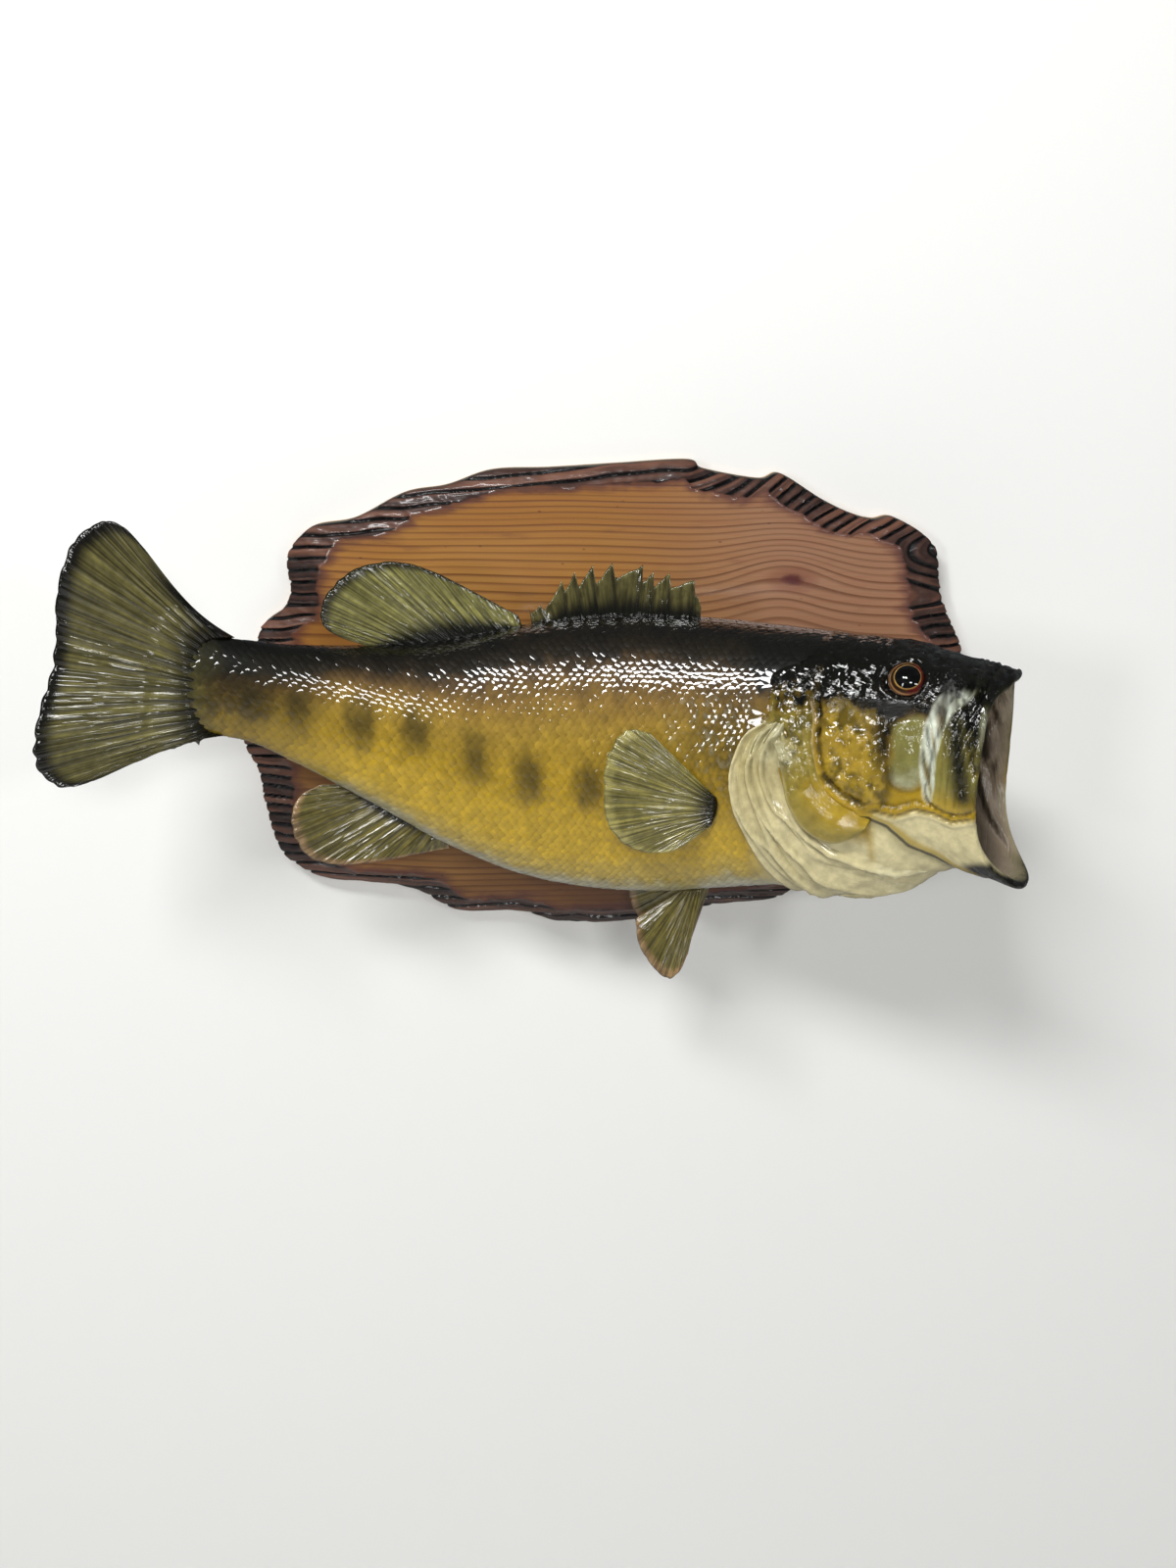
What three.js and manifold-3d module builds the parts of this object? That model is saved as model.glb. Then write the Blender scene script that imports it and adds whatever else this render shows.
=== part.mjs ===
// A mounted trophy fish: a largemouth bass of about 3 kg, skin-mounted in a gentle
// curve on a hand-cut board with a charred rim. The mouth is open and the gill
// covers are flared. The fish's right side faces the room.
//
// Frame of the whole part: millimetres, +Z up, +X along the board towards the head,
// +Y into the wall. The origin is on the wall, behind the middle of the board.
//
// The fish is first modelled straight, in a frame of its own:
//   x  along the fish, towards the snout, 0 where the spine is nearest the wall
//   y  up
//   z  out of the fish's right side
// and every point is then carried onto the curved spine by pose().

import * as THREE from 'three';
import { mergeVertices } from 'three/addons/utils/BufferGeometryUtils.js';
import Module from 'manifold-3d';

const wasm = await Module();
wasm.setup();
const { Manifold, Mesh: ManifoldMesh } = wasm;

// ---------------------------------------------------------------- driving sizes

const GAP = 0.3; // parting gap between neighbouring pieces

// board
const BOARD_THICKNESS = 20;
const BOARD_EDGE = 12; // thickness left at the outline, where the rim slopes down
const RIM_SIDE = 21; // width of the sloping rim at the two ends
const RIM_TOP = 11; // width of the sloping rim along the top and bottom
const HALF_LENGTH = 215;
const HALF_HEIGHT = 143;

// hanger let into the back of the board
const POCKET = { width: 70, height: 18, depth: 3.5, middle: 95 };
const HANGER = { width: 56, height: 9, thickness: 1.2, teeth: 7, toothDepth: 2 };

// spine, seen from above
const SPINE_NEAREST_X = -25; // where the spine is nearest the wall
const SPINE_STAND_OFF = 62; // its distance from the wall there
const HEAD_BEND_RADIUS = 247;
const HEAD_TURN = THREE.MathUtils.degToRad(29);
const TAIL_BEND_RADIUS = 425;
const TAIL_TURN = THREE.MathUtils.degToRad(26.6);

// where the body is divided, measured along the fish
const TAIL_END = -212;
const STALK_FRONT = -130;
const GILL_OPENING = 117;
const LIP_PLACE = 244;

// stations of the body: place along, height of the back, height of the belly,
// half width, height of the widest line, squareness of the upper and lower half
const STATIONS = [
  [-212, 50, 2, 3.2, 26, 1.0, 1.0],
  [-196, 51, -2, 7, 24, 1.0, 1.0],
  [-176, 48, -8, 11.5, 20, 0.95, 0.95],
  [-152, 44, -22, 17, 12, 0.92, 0.92],
  [-110, 42, -48, 27, -2, 0.9, 0.9],
  [-70, 44, -73, 35, -12, 0.9, 0.88],
  [-26, 52, -92, 43, -18, 0.9, 0.86],
  [18, 58.5, -100, 47, -19, 0.9, 0.86],
  [62, 60, -99, 49, -18, 0.88, 0.88],
  [100, 59.5, -92, 48, -16, 0.86, 0.9],
  [130, 59, -86, 46, -13, 0.84, 0.92],
  [160, 59, -84, 43, -10, 0.82, 0.95],
  [186, 58.5, -80, 41, -8, 0.8, 0.98],
  [205, 56, -72, 40, -4, 0.8, 0.95],
  [218, 53, -58, 39, -1, 0.8, 0.85],
  [230, 50.5, -59, 38.5, 0, 0.8, 0.85],
  [244, 48, -63, 38, 0, 0.8, 0.85],
].map(([along, back, belly, half, widest, crown, keel]) => ({
  along, back, belly, half, widest, crown, keel,
}));

// the lip ring leans: this much further forward at its top, side and bottom
const LIP_LEAN = { top: 5, side: -3, bottom: 20 };
const LIP_LEAN_FROM = 196; // the lean fades in from here to the lips

// mouth: wall between the outside of the head and the hollow, at lips and gullet
const LIP_WALL = 5;
const GULLET_PLACE = 168;
const GULLET_WALL = 20;

// eye: radius of the ball, how far its centre is under the skin, and its place
const EYE = { radius: 12.2, sunk: 8, along: 198, turn: THREE.MathUtils.degToRad(50) };

// thickness of the plates that lie on the head
const MAXILLA_PROUD = 2.4;
const GILL_COVER_PROUD = 4;
const GILL_COVER_FLARE = 6;
const MEMBRANE_PROUD = 3;
const MEMBRANE_FLARE = 7;
const PLATE_THICKNESS = 2.6;
const PLATE_FROM = 103; // the shells they are cut from begin here
const HEAD_CUT = 90; // sideways reach of a cut through the whole head

// ---------------------------------------------------------------- shaping tools

const clamp01 = (value) => Math.min(1, Math.max(0, value));
const smooth = (from, to, value) => {
  const part = clamp01((value - from) / (to - from));
  return part * part * (3 - 2 * part);
};

// The body's section at any place, on a smooth line through the stations.
function section(along) {
  const last = STATIONS.length - 1;
  let left = 0;
  while (left < last - 1 && along > STATIONS[left + 1].along) left += 1;
  const [a, b] = [STATIONS[left], STATIONS[left + 1]];
  const span = b.along - a.along;
  const part = (along - a.along) / span;
  const before = STATIONS[Math.max(0, left - 1)];
  const after = STATIONS[Math.min(last, left + 2)];
  const result = {};
  for (const key of ['back', 'belly', 'half', 'widest', 'crown', 'keel']) {
    const slopeA = ((b[key] - before[key]) / (b.along - before.along)) * span;
    const slopeB = ((after[key] - a[key]) / (after.along - a.along)) * span;
    const square = part * part;
    const cube = square * part;
    result[key] = (2 * cube - 3 * square + 1) * a[key] + (cube - 2 * square + part) * slopeA
      + (3 * square - 2 * cube) * b[key] + (cube - square) * slopeB;
  }
  return result;
}

// A point of the body's surface, grown outwards by `grow`. `turn` runs round the
// body from its right side (0) over the back (a quarter turn).
function skinPoint(along, turn, grow = 0) {
  const { back, belly, half, widest, crown, keel } = section(along);
  const rise = Math.sin(turn);
  const out = Math.cos(turn);
  const power = rise > 0 ? crown : keel;
  const height = (rise > 0 ? back - widest : widest - belly) + grow;
  const lean = rise > 0
    ? THREE.MathUtils.lerp(LIP_LEAN.side, LIP_LEAN.top, rise ** 8)
    : THREE.MathUtils.lerp(LIP_LEAN.side, LIP_LEAN.bottom, (-rise) ** 3);
  return new THREE.Vector3(
    along + lean * smooth(LIP_LEAN_FROM, LIP_PLACE, along),
    widest + height * Math.sign(rise) * Math.abs(rise) ** power,
    (half + grow) * Math.sign(out) * Math.abs(out) ** power,
  );
}

// From the straight fish to its place on the curved spine.
function pose(point) {
  const headwards = point.x > 0;
  const radius = headwards ? HEAD_BEND_RADIUS : TAIL_BEND_RADIUS;
  const turn = Math.min(Math.abs(point.x) / radius, headwards ? HEAD_TURN : TAIL_TURN);
  const beyond = Math.abs(point.x) - turn * radius;
  const side = headwards ? 1 : -1;
  const reach = radius * Math.sin(turn) + beyond * Math.cos(turn);
  const distance = SPINE_STAND_OFF + radius * (1 - Math.cos(turn)) + beyond * Math.sin(turn);
  return new THREE.Vector3(
    SPINE_NEAREST_X + side * (reach - point.z * Math.sin(turn)),
    -(distance + point.z * Math.cos(turn)),
    point.y,
  );
}

// Moves every point of a geometry, and leaves it closed with its faces outwards.
function reshape(geometry, move) {
  const place = geometry.attributes.position;
  const point = new THREE.Vector3();
  for (let i = 0; i < place.count; i += 1) {
    const moved = move(point.fromBufferAttribute(place, i));
    place.setXYZ(i, moved.x, moved.y, moved.z);
  }
  return outward(geometry);
}

// Merges shared points and turns the faces round if they point inwards.
function outward(geometry) {
  geometry.deleteAttribute('normal');
  geometry.deleteAttribute('uv');
  const merged = mergeVertices(geometry);
  const [a, b, c] = [0, 1, 2].map(() => new THREE.Vector3());
  const index = merged.index;
  let volume = 0;
  for (let i = 0; i < index.count; i += 3) {
    a.fromBufferAttribute(merged.attributes.position, index.getX(i));
    b.fromBufferAttribute(merged.attributes.position, index.getX(i + 1));
    c.fromBufferAttribute(merged.attributes.position, index.getX(i + 2));
    volume += a.dot(b.cross(c));
  }
  for (let i = 0; volume < 0 && i < index.count; i += 3) {
    const first = index.getX(i);
    index.setX(i, index.getX(i + 1));
    index.setX(i + 1, first);
  }
  return merged;
}

const solid = (geometry) => new Manifold(new ManifoldMesh({
  numProp: 3,
  vertProperties: Float32Array.from(geometry.attributes.position.array),
  triVerts: Uint32Array.from(geometry.index.array),
}));

function geometryOf(manifold) {
  const { vertProperties, triVerts } = manifold.getMesh();
  const geometry = new THREE.BufferGeometry();
  geometry.setAttribute('position', new THREE.BufferAttribute(vertProperties, 3));
  geometry.setIndex(new THREE.BufferAttribute(triVerts, 1));
  return geometry;
}

// A closed tube, capped at both ends: surface(part, turn) gives its wall.
function tube(around, lengthwise, surface) {
  const half = 0.5;
  const shape = new THREE.CylinderGeometry(1, 1, 1, around, lengthwise);
  return reshape(shape, (point) => {
    const part = point.y + half;
    if (Math.hypot(point.x, point.z) > half) return surface(part, Math.atan2(point.x, point.z));
    return surface(part, 0).add(surface(part, Math.PI)).multiplyScalar(half);
  });
}

// A length of the body, between two places along it.
function bodyTube(from, to, around, lengthwise, grow = 0) {
  const growAt = typeof grow === 'function' ? grow : () => grow;
  return solid(tube(around, lengthwise, (part, turn) => {
    const along = THREE.MathUtils.lerp(from, to, part);
    return skinPoint(along, turn, growAt(along));
  }));
}

// A closed smooth outline through points [along, up].
function outline(points, steps) {
  const corners = points.map(([along, up]) => new THREE.Vector3(along, up, 0));
  const curve = new THREE.CatmullRomCurve3(corners, true, 'centripetal');
  return curve.getPoints(steps).slice(0, -1).map(({ x, y }) => new THREE.Vector2(x, y));
}

// A block cut to an outline, reaching sideways from `near` to `far`.
function cutter(points, near, far) {
  const block = new THREE.ExtrudeGeometry(new THREE.Shape(points), {
    depth: far - near, bevelEnabled: false,
  });
  block.translate(0, 0, near);
  return solid(outward(block));
}

// A box between two corners.
function box(low, high) {
  const size = new THREE.Vector3().subVectors(high, low);
  const block = new THREE.BoxGeometry(size.x, size.y, size.z);
  block.translate(...new THREE.Vector3().addVectors(low, high).multiplyScalar(0.5));
  return solid(outward(block));
}

// The same points moved outwards all round by a distance.
function widen(points, distance) {
  return points.map((point, i) => {
    const before = points[(i + points.length - 1) % points.length];
    const after = points[(i + 1) % points.length];
    const edge = new THREE.Vector2().subVectors(after, before).normalize();
    const turned = THREE.ShapeUtils.isClockWise(points) ? -1 : 1;
    return new THREE.Vector2(
      point.x + edge.y * distance * turned,
      point.y - edge.x * distance * turned,
    );
  });
}

const curveThrough = (points) => new THREE.CatmullRomCurve3(
  points.map(([along, up, out]) => new THREE.Vector3(along, up, out)),
);

// A fin: a ribbed plate between its root line and its tip line. Each ray is a rib,
// the membrane between two rays is thinner, and its edge is notched.
function fin({ root, tip, rays, steps = 4, thickness, membrane = 0.8, notch = 0.04, side = 1 }) {
  const rootLine = curveThrough(root);
  const tipLine = curveThrough(tip);
  const plate = new THREE.BoxGeometry(1, 1, 1, 2 * (rays - 1), steps, 1);
  const half = 0.5;
  return reshape(plate, (point) => {
    const across = point.x + half;
    const height = point.y + half;
    const column = Math.round(across * 2 * (rays - 1));
    const onRay = column % 2 === 0;
    const reach = height * (onRay ? 1 : 1 - notch);
    const foot = rootLine.getPoint(across);
    const end = tipLine.getPoint(across);
    const spot = foot.clone().lerp(end, reach);
    const ahead = rootLine.getPoint(Math.min(1, across + half / rays));
    const behind = rootLine.getPoint(Math.max(0, across - half / rays));
    const face = new THREE.Vector3().crossVectors(ahead.sub(behind), end.clone().sub(foot)).normalize();
    const ray = THREE.MathUtils.lerp(thickness, membrane + 0.1, height);
    const wall = onRay ? ray : Math.min(ray, membrane);
    spot.addScaledVector(face, point.z * wall);
    spot.z *= side;
    return spot;
  });
}

// ---------------------------------------------------------------- board

// the hand-cut outline of the board, clockwise from its left end, as [x, z]
const BOARD_CORNERS = [
  [-217, 2], [-208, 38], [-194, 51], [-189, 63], [-190, 82], [-176, 99], [-150, 105],
  [-121, 120], [-96, 125], [-70, 134], [-36, 136], [2, 139], [44, 142], [54, 137],
  [86, 132], [99, 135], [124, 121], [142, 113], [155, 110], [168, 111], [192, 96],
  [198, 70], [203, 57], [214, 34], [218, 4], [210, -34], [204, -62], [203, -86],
  [190, -104], [160, -109], [134, -113], [113, -128], [84, -132], [56, -137],
  [20, -145], [-24, -147], [-52, -140], [-92, -139], [-118, -126], [-150, -121],
  [-177, -118], [-200, -103], [-208, -80], [-213, -50], [-221, -30],
];

function boardGeometry() {
  const shape = new THREE.Shape(BOARD_CORNERS.map(([x, z]) => new THREE.Vector2(x, z)));
  const slab = new THREE.ExtrudeGeometry(shape, { depth: 2, steps: 2, bevelEnabled: false });
  const layers = [
    { depth: 0, wide: 1, high: 1 },
    { depth: BOARD_EDGE, wide: 1, high: 1 },
    { depth: BOARD_THICKNESS, wide: 1 - RIM_SIDE / HALF_LENGTH, high: 1 - RIM_TOP / HALF_HEIGHT },
  ];
  const shaped = reshape(slab, (point) => {
    const layer = layers[Math.round(point.z)];
    return new THREE.Vector3(point.x * layer.wide, -layer.depth, point.y * layer.high);
  });
  const pocket = box(
    new THREE.Vector3(-POCKET.width / 2, -POCKET.depth, POCKET.middle - POCKET.height / 2),
    new THREE.Vector3(POCKET.width / 2, 1, POCKET.middle + POCKET.height / 2),
  );
  return geometryOf(solid(shaped).subtract(pocket));
}

// A steel strip with a toothed lower edge, lying in the pocket.
function hangerGeometry() {
  const strip = new THREE.Shape();
  const step = HANGER.width / HANGER.teeth;
  const left = -HANGER.width / 2;
  const bottom = POCKET.middle - HANGER.height / 2;
  strip.moveTo(left, bottom + HANGER.height);
  for (let tooth = 0; tooth < HANGER.teeth; tooth += 1) {
    strip.lineTo(left + tooth * step, bottom);
    strip.lineTo(left + (tooth + 0.5) * step, bottom + HANGER.toothDepth);
  }
  strip.lineTo(left + HANGER.width, bottom);
  strip.lineTo(left + HANGER.width, bottom + HANGER.height);
  const plate = new THREE.ExtrudeGeometry(strip, { depth: HANGER.thickness, bevelEnabled: false });
  const deepest = POCKET.depth - GAP;
  return reshape(plate, (point) => new THREE.Vector3(point.x, point.z - deepest, point.y));
}

// ---------------------------------------------------------------- body

// The far flank is flattened where the fish is fixed against the board.
function clearOfBoard(geometry) {
  const behind = box(
    new THREE.Vector3(-2 * HALF_LENGTH, -BOARD_THICKNESS - GAP, -2 * HALF_LENGTH),
    new THREE.Vector3(2 * HALF_LENGTH, 2 * HALF_LENGTH, 2 * HALF_LENGTH),
  );
  return geometryOf(solid(geometry).subtract(behind));
}

const trunk = bodyTube(STALK_FRONT + GAP / 2, GILL_OPENING - GAP, 24, 16);
const tailStalk = bodyTube(TAIL_END, STALK_FRONT - GAP / 2, 20, 7);
const bodyWithGap = bodyTube(TAIL_END - GAP, GILL_OPENING, 24, 22, GAP);

// ---------------------------------------------------------------- head

// eye: its ball's centre lies under the skin, along the skin's own slope
function eyeCentre() {
  const spot = skinPoint(EYE.along, EYE.turn);
  const above = skinPoint(EYE.along, EYE.turn + 0.1);
  const below = skinPoint(EYE.along, EYE.turn - 0.1);
  const slope = above.sub(below).normalize();
  const inward = new THREE.Vector3(0, -slope.z, slope.y);
  if (inward.z > 0) inward.negate();
  return spot.addScaledVector(inward, EYE.sunk);
}

function eyeBall(side, grow = 0) {
  const ball = new THREE.SphereGeometry(EYE.radius + grow, 12, 7);
  const centre = eyeCentre();
  ball.translate(centre.x, centre.y, centre.z * side);
  return outward(ball);
}

const mouthHollow = solid(tube(20, 5, (part, turn) => {
  const along = THREE.MathUtils.lerp(GULLET_PLACE, LIP_PLACE, part);
  const wall = THREE.MathUtils.lerp(GULLET_WALL, LIP_WALL, smooth(0, 0.7, part));
  const point = skinPoint(along, turn, -wall);
  point.x += part === 1 ? 1 : 0;
  return point;
}));

const headWhole = bodyTube(GILL_OPENING, LIP_PLACE, 28, 11)
  .subtract(mouthHollow)
  .subtract(solid(eyeBall(1, GAP)))
  .subtract(solid(eyeBall(-1, GAP)));

// parting outlines of the jaws, seen from the side
const LOWER_JAW_OUTLINE = outline([
  [188, -24], [216, -21], [240, -17], [275, -20], [282, -60], [266, -80], [250, -62],
  [222, -45], [198, -34],
], 30);
const UPPER_JAW_OUTLINE = outline([
  [232, 62], [262, 62], [264, 20], [256, -12.5], [236, -12.5], [233, 8], [231, 28], [227, 44],
], 28);

const lowerJaw = headWhole.intersect(cutter(LOWER_JAW_OUTLINE, -HEAD_CUT, HEAD_CUT));
const upperJaw = headWhole.intersect(cutter(UPPER_JAW_OUTLINE, -HEAD_CUT, HEAD_CUT));
const head = headWhole
  .subtract(cutter(widen(LOWER_JAW_OUTLINE, GAP), -HEAD_CUT, HEAD_CUT))
  .subtract(cutter(widen(UPPER_JAW_OUTLINE, GAP), -HEAD_CUT, HEAD_CUT));

// plates that lie on the head: a thin shell of its surface, cut to an outline
const MAXILLA_OUTLINE = outline([
  [224, 38], [231, 34], [235, 14], [240, 0], [243.5, -11], [239, -16], [229, -18.5],
  [218, -13], [217.5, -1], [219, 16], [221.5, 30],
], 26);
const GILL_COVER_OUTLINE = outline([
  [160, 47], [148, 45], [135, 37], [128, 26], [128, 14], [138, 8], [143, -6], [147, -21],
  [155, -34], [168, -40], [181, -37], [188, -28], [175, -20], [163, -8], [157, 14],
], 32);
const MEMBRANE_OUTLINE = outline([
  [142, 14], [129, 14], [121, 7], [116, -3], [115, -13], [118, -27], [122, -40], [129, -56],
  [138, -72], [150, -90], [176, -100], [200, -94], [217, -80], [214, -60], [200, -46],
  [184, -44], [160, -44], [144, -28], [139, -8],
], 38);

function plate(points, side, proudAt) {
  const outer = bodyTube(PLATE_FROM, LIP_PLACE, 28, 12, proudAt);
  const inner = bodyTube(
    PLATE_FROM - 2, LIP_PLACE + 2, 28, 12, (along) => Math.max(GAP, proudAt(along) - PLATE_THICKNESS),
  );
  const reach = side > 0 ? cutter(points, GAP, HEAD_CUT) : cutter(points, -HEAD_CUT, -GAP);
  return outer.subtract(inner).intersect(reach);
}

const coverProud = (along) => GILL_COVER_PROUD + GILL_COVER_FLARE * (1 - smooth(128, 160, along));
const membraneProud = (along) => MEMBRANE_PROUD + MEMBRANE_FLARE * (1 - smooth(108, 150, along));

function gillMembrane(side) {
  const points = MEMBRANE_OUTLINE;
  const cover = cutter(widen(GILL_COVER_OUTLINE, GAP), -HEAD_CUT, HEAD_CUT);
  const jaw = cutter(widen(LOWER_JAW_OUTLINE, GAP), -HEAD_CUT, HEAD_CUT);
  return plate(points, side, membraneProud).subtract(cover).subtract(jaw);
}

// ---------------------------------------------------------------- fins

const backAt = (along, depth) => [along, section(along).back - depth, 0];
const bellyAt = (along, depth) => [along, section(along).belly + depth, 0];

const caudalFin = fin({
  root: [[-193, 53, 0], [-207, 47, 0], [-209, 26, 0], [-208, 4, 0], [-201, 0, 0]],
  tip: [
    [-238, 116, 2], [-254, 110, 4], [-267, 90, 4], [-272, 62, 1], [-279, 36, 0],
    [-288, 8, 2], [-289, -8, 4], [-283, -20, 4], [-266, -24, 2],
  ],
  rays: 17,
  thickness: 3,
});

const softDorsalFin = fin({
  root: [backAt(-105, 1.5), backAt(-80, 1.5), backAt(-54, 1.5), backAt(-29, 1.5)],
  tip: [
    [-125, 46, 0], [-137, 55, 2], [-135, 69, 3], [-126, 80, 3], [-111, 87, 2], [-94, 88, 1],
    [-74, 83, 0], [-52, 71, 0], [-32, 58, 0],
  ],
  rays: 13,
  steps: 3,
  thickness: 2.4,
});

const spinyDorsalFin = fin({
  root: [backAt(-18, 1.5), backAt(12, 1.5), backAt(44, 1.5), backAt(74, 1.5)],
  tip: [
    [-22, 62, 0], [-6, 77, 0], [12, 87, 0], [30, 90, 0], [46, 88, 0], [60, 84, 0], [73, 80, 0],
  ],
  rays: 10,
  steps: 3,
  thickness: 3,
  notch: 0.3,
});

const analFin = fin({
  root: [bellyAt(-125, 1.5), bellyAt(-107, 1.5), bellyAt(-88, 1.5), bellyAt(-68, 1.5)],
  tip: [
    [-139, -36, 0], [-153, -42, 1], [-157, -54, 2], [-154, -69, 3], [-145, -80, 3],
    [-130, -84, 2], [-110, -84, 1], [-88, -82, 0], [-66, -79, 0],
  ],
  rays: 12,
  steps: 3,
  thickness: 2.4,
});

// The near pectoral stands out from the flank. The far one is folded down, where
// there is room for it between the flank and the board.
const pectoralFinRight = fin({
  root: [[104, -27, 49.5], [104, -35, 49.5], [101, -43, 49]],
  tip: [
    [44, 9, 60], [33, 2, 66], [28, -12, 69], [28, -30, 69], [34, -46, 66], [51, -57, 62],
    [72, -59, 58], [88, -54, 54],
  ],
  rays: 13,
  steps: 3,
  thickness: 3.2,
});
const pectoralFinLeft = fin({
  root: [[100, -34, 49.5], [101, -40, 49], [101, -46, 48.2]],
  tip: [
    [62, -70, 40], [60, -80, 38], [62, -90, 36], [68, -97, 34], [76, -98, 33], [85, -94, 33],
  ],
  rays: 10,
  steps: 3,
  thickness: 3.2,
  side: -1,
});

const pelvicFinRight = fin({
  root: [[87, -94.5, 12], [81, -96, 12], [75, -98, 11]],
  tip: [
    [81, -136, 20], [74, -146, 23], [65, -147, 25], [55, -137, 26], [49, -124, 26], [47, -112, 24],
  ],
  rays: 6,
  thickness: 3,
});
const pelvicFinLeft = fin({
  root: [[87, -94.5, 12], [81, -96, 12], [75, -98, 11]],
  tip: [
    [74, -140, 17], [63, -147, 18], [53, -143, 20], [43, -131, 22], [37, -118, 23], [38, -107, 22],
  ],
  rays: 6,
  thickness: 3,
  side: -1,
});

const fitted = (geometry) => geometryOf(solid(geometry).subtract(bodyWithGap));

// ---------------------------------------------------------------- assembly

const finish = (colour, roughness, metalness = 0) => new THREE.MeshStandardMaterial({
  color: colour, roughness, metalness,
});

const fish = new THREE.Group();

function add(name, geometry, material) {
  const mesh = new THREE.Mesh(geometry, material);
  mesh.name = name;
  fish.add(mesh);
}

const posed = (geometry) => reshape(geometry, pose);
const flesh = (manifold) => posed(geometryOf(manifold));

add('board', boardGeometry(), finish(0x8a4a22, 0.35));
add('hanger', hangerGeometry(), finish(0x8c8c8c, 0.4, 1));

add('trunk', clearOfBoard(flesh(trunk)), finish(0x8a7428, 0.3));
add('tail_stalk', flesh(tailStalk), finish(0x7d6a28, 0.3));
add('head', flesh(head), finish(0x6b5a22, 0.3));
add('upper_jaw', flesh(upperJaw), finish(0x3c3412, 0.3));
add('lower_jaw', flesh(lowerJaw), finish(0xc9b880, 0.35));
for (const [word, side] of [['right', 1], ['left', -1]]) {
  add(`maxilla_${word}`, flesh(plate(MAXILLA_OUTLINE, side, () => MAXILLA_PROUD + GAP)), finish(0x7a6c2a, 0.3));
  add(`gill_cover_${word}`, flesh(plate(GILL_COVER_OUTLINE, side, coverProud)), finish(0xa88a2c, 0.3));
  add(`gill_membrane_${word}`, flesh(gillMembrane(side)), finish(0xe4dcc0, 0.45));
  add(`eye_${word}`, posed(eyeBall(side)), finish(0x1a120a, 0.05));
}
add('caudal_fin', posed(fitted(caudalFin)), finish(0x2c2a14, 0.35));
add('soft_dorsal_fin', posed(fitted(softDorsalFin)), finish(0x33301a, 0.35));
add('spiny_dorsal_fin', posed(fitted(spinyDorsalFin)), finish(0x33301a, 0.35));
add('anal_fin', posed(fitted(analFin)), finish(0x6e6430, 0.35));
add('pectoral_fin_right', posed(fitted(pectoralFinRight)), finish(0x5c5426, 0.35));
add('pectoral_fin_left', posed(fitted(pectoralFinLeft)), finish(0x5c5426, 0.35));
add('pelvic_fin_right', posed(fitted(pelvicFinRight)), finish(0x5c5426, 0.35));
add('pelvic_fin_left', posed(fitted(pelvicFinLeft)), finish(0x5c5426, 0.35));

export default fish;
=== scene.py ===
import math

import bmesh
import bpy
import numpy as np
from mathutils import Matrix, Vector


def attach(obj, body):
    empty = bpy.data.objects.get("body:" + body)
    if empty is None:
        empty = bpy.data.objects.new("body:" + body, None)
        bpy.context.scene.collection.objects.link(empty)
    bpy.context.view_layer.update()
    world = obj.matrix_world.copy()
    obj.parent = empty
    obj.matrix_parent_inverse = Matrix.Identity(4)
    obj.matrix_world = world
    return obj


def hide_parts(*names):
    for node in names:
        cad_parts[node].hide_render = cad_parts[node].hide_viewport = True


# A largemouth bass skin-mounted on a hand-cut board with a charred rim.
#
# The fish is shaped straight, in millimetres, in a frame of its own: along the fish
# towards the snout, up, and out of its right side. pose() carries it onto the curved
# spine, in the metres of the whole part.

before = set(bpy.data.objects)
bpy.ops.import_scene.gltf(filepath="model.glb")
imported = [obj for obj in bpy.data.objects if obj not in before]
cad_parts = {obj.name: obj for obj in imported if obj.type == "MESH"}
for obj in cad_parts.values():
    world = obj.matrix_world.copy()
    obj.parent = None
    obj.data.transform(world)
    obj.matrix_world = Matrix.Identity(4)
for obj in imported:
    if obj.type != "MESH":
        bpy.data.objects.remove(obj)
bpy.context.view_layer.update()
MM = 0.001


# ---- small tools

def blend(low, high, part):
    """Part of the way from low to high."""
    return low + (high - low) * part


def smooth(start, end, value):
    """0 at the start and 1 at the end, with a soft climb between."""
    part = np.clip((value - start) / (end - start), 0.0, 1.0)
    return part * part * (3.0 - 2.0 * part)


def bump(value, centre, reach):
    """1 at the centre, falling softly to 0 at that reach either side."""
    part = np.clip(1.0 - ((value - centre) / reach) ** 2, 0.0, 1.0)
    return part * part


def chance(column, row, seed):
    """A fixed random number from 0 to 1 for each cell of a grid."""
    number = np.sin(column * 127.1 + row * 311.7 + seed * 74.7) * 43758.5453
    return number - np.floor(number)


def waves(x, y, seed=0):
    """Soft random hills from -1 to 1, a cell of 1 across."""
    x, y = np.broadcast_arrays(np.asarray(x, float), np.asarray(y, float))
    column, row = np.floor(x), np.floor(y)
    right, up = x - column, y - row
    right = right * right * (3.0 - 2.0 * right)
    up = up * up * (3.0 - 2.0 * up)
    low = blend(chance(column, row, seed), chance(column + 1, row, seed), right)
    high = blend(chance(column, row + 1, seed), chance(column + 1, row + 1, seed), right)
    return blend(low, high, up) * 2.0 - 1.0


def rough(x, y, seed=0, layers=3):
    """Hills upon hills."""
    total = 0.0
    for layer in range(layers):
        total = total + waves(x * 2.0 ** layer, y * 2.0 ** layer, seed + layer) * 0.5 ** layer
    return total


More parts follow.
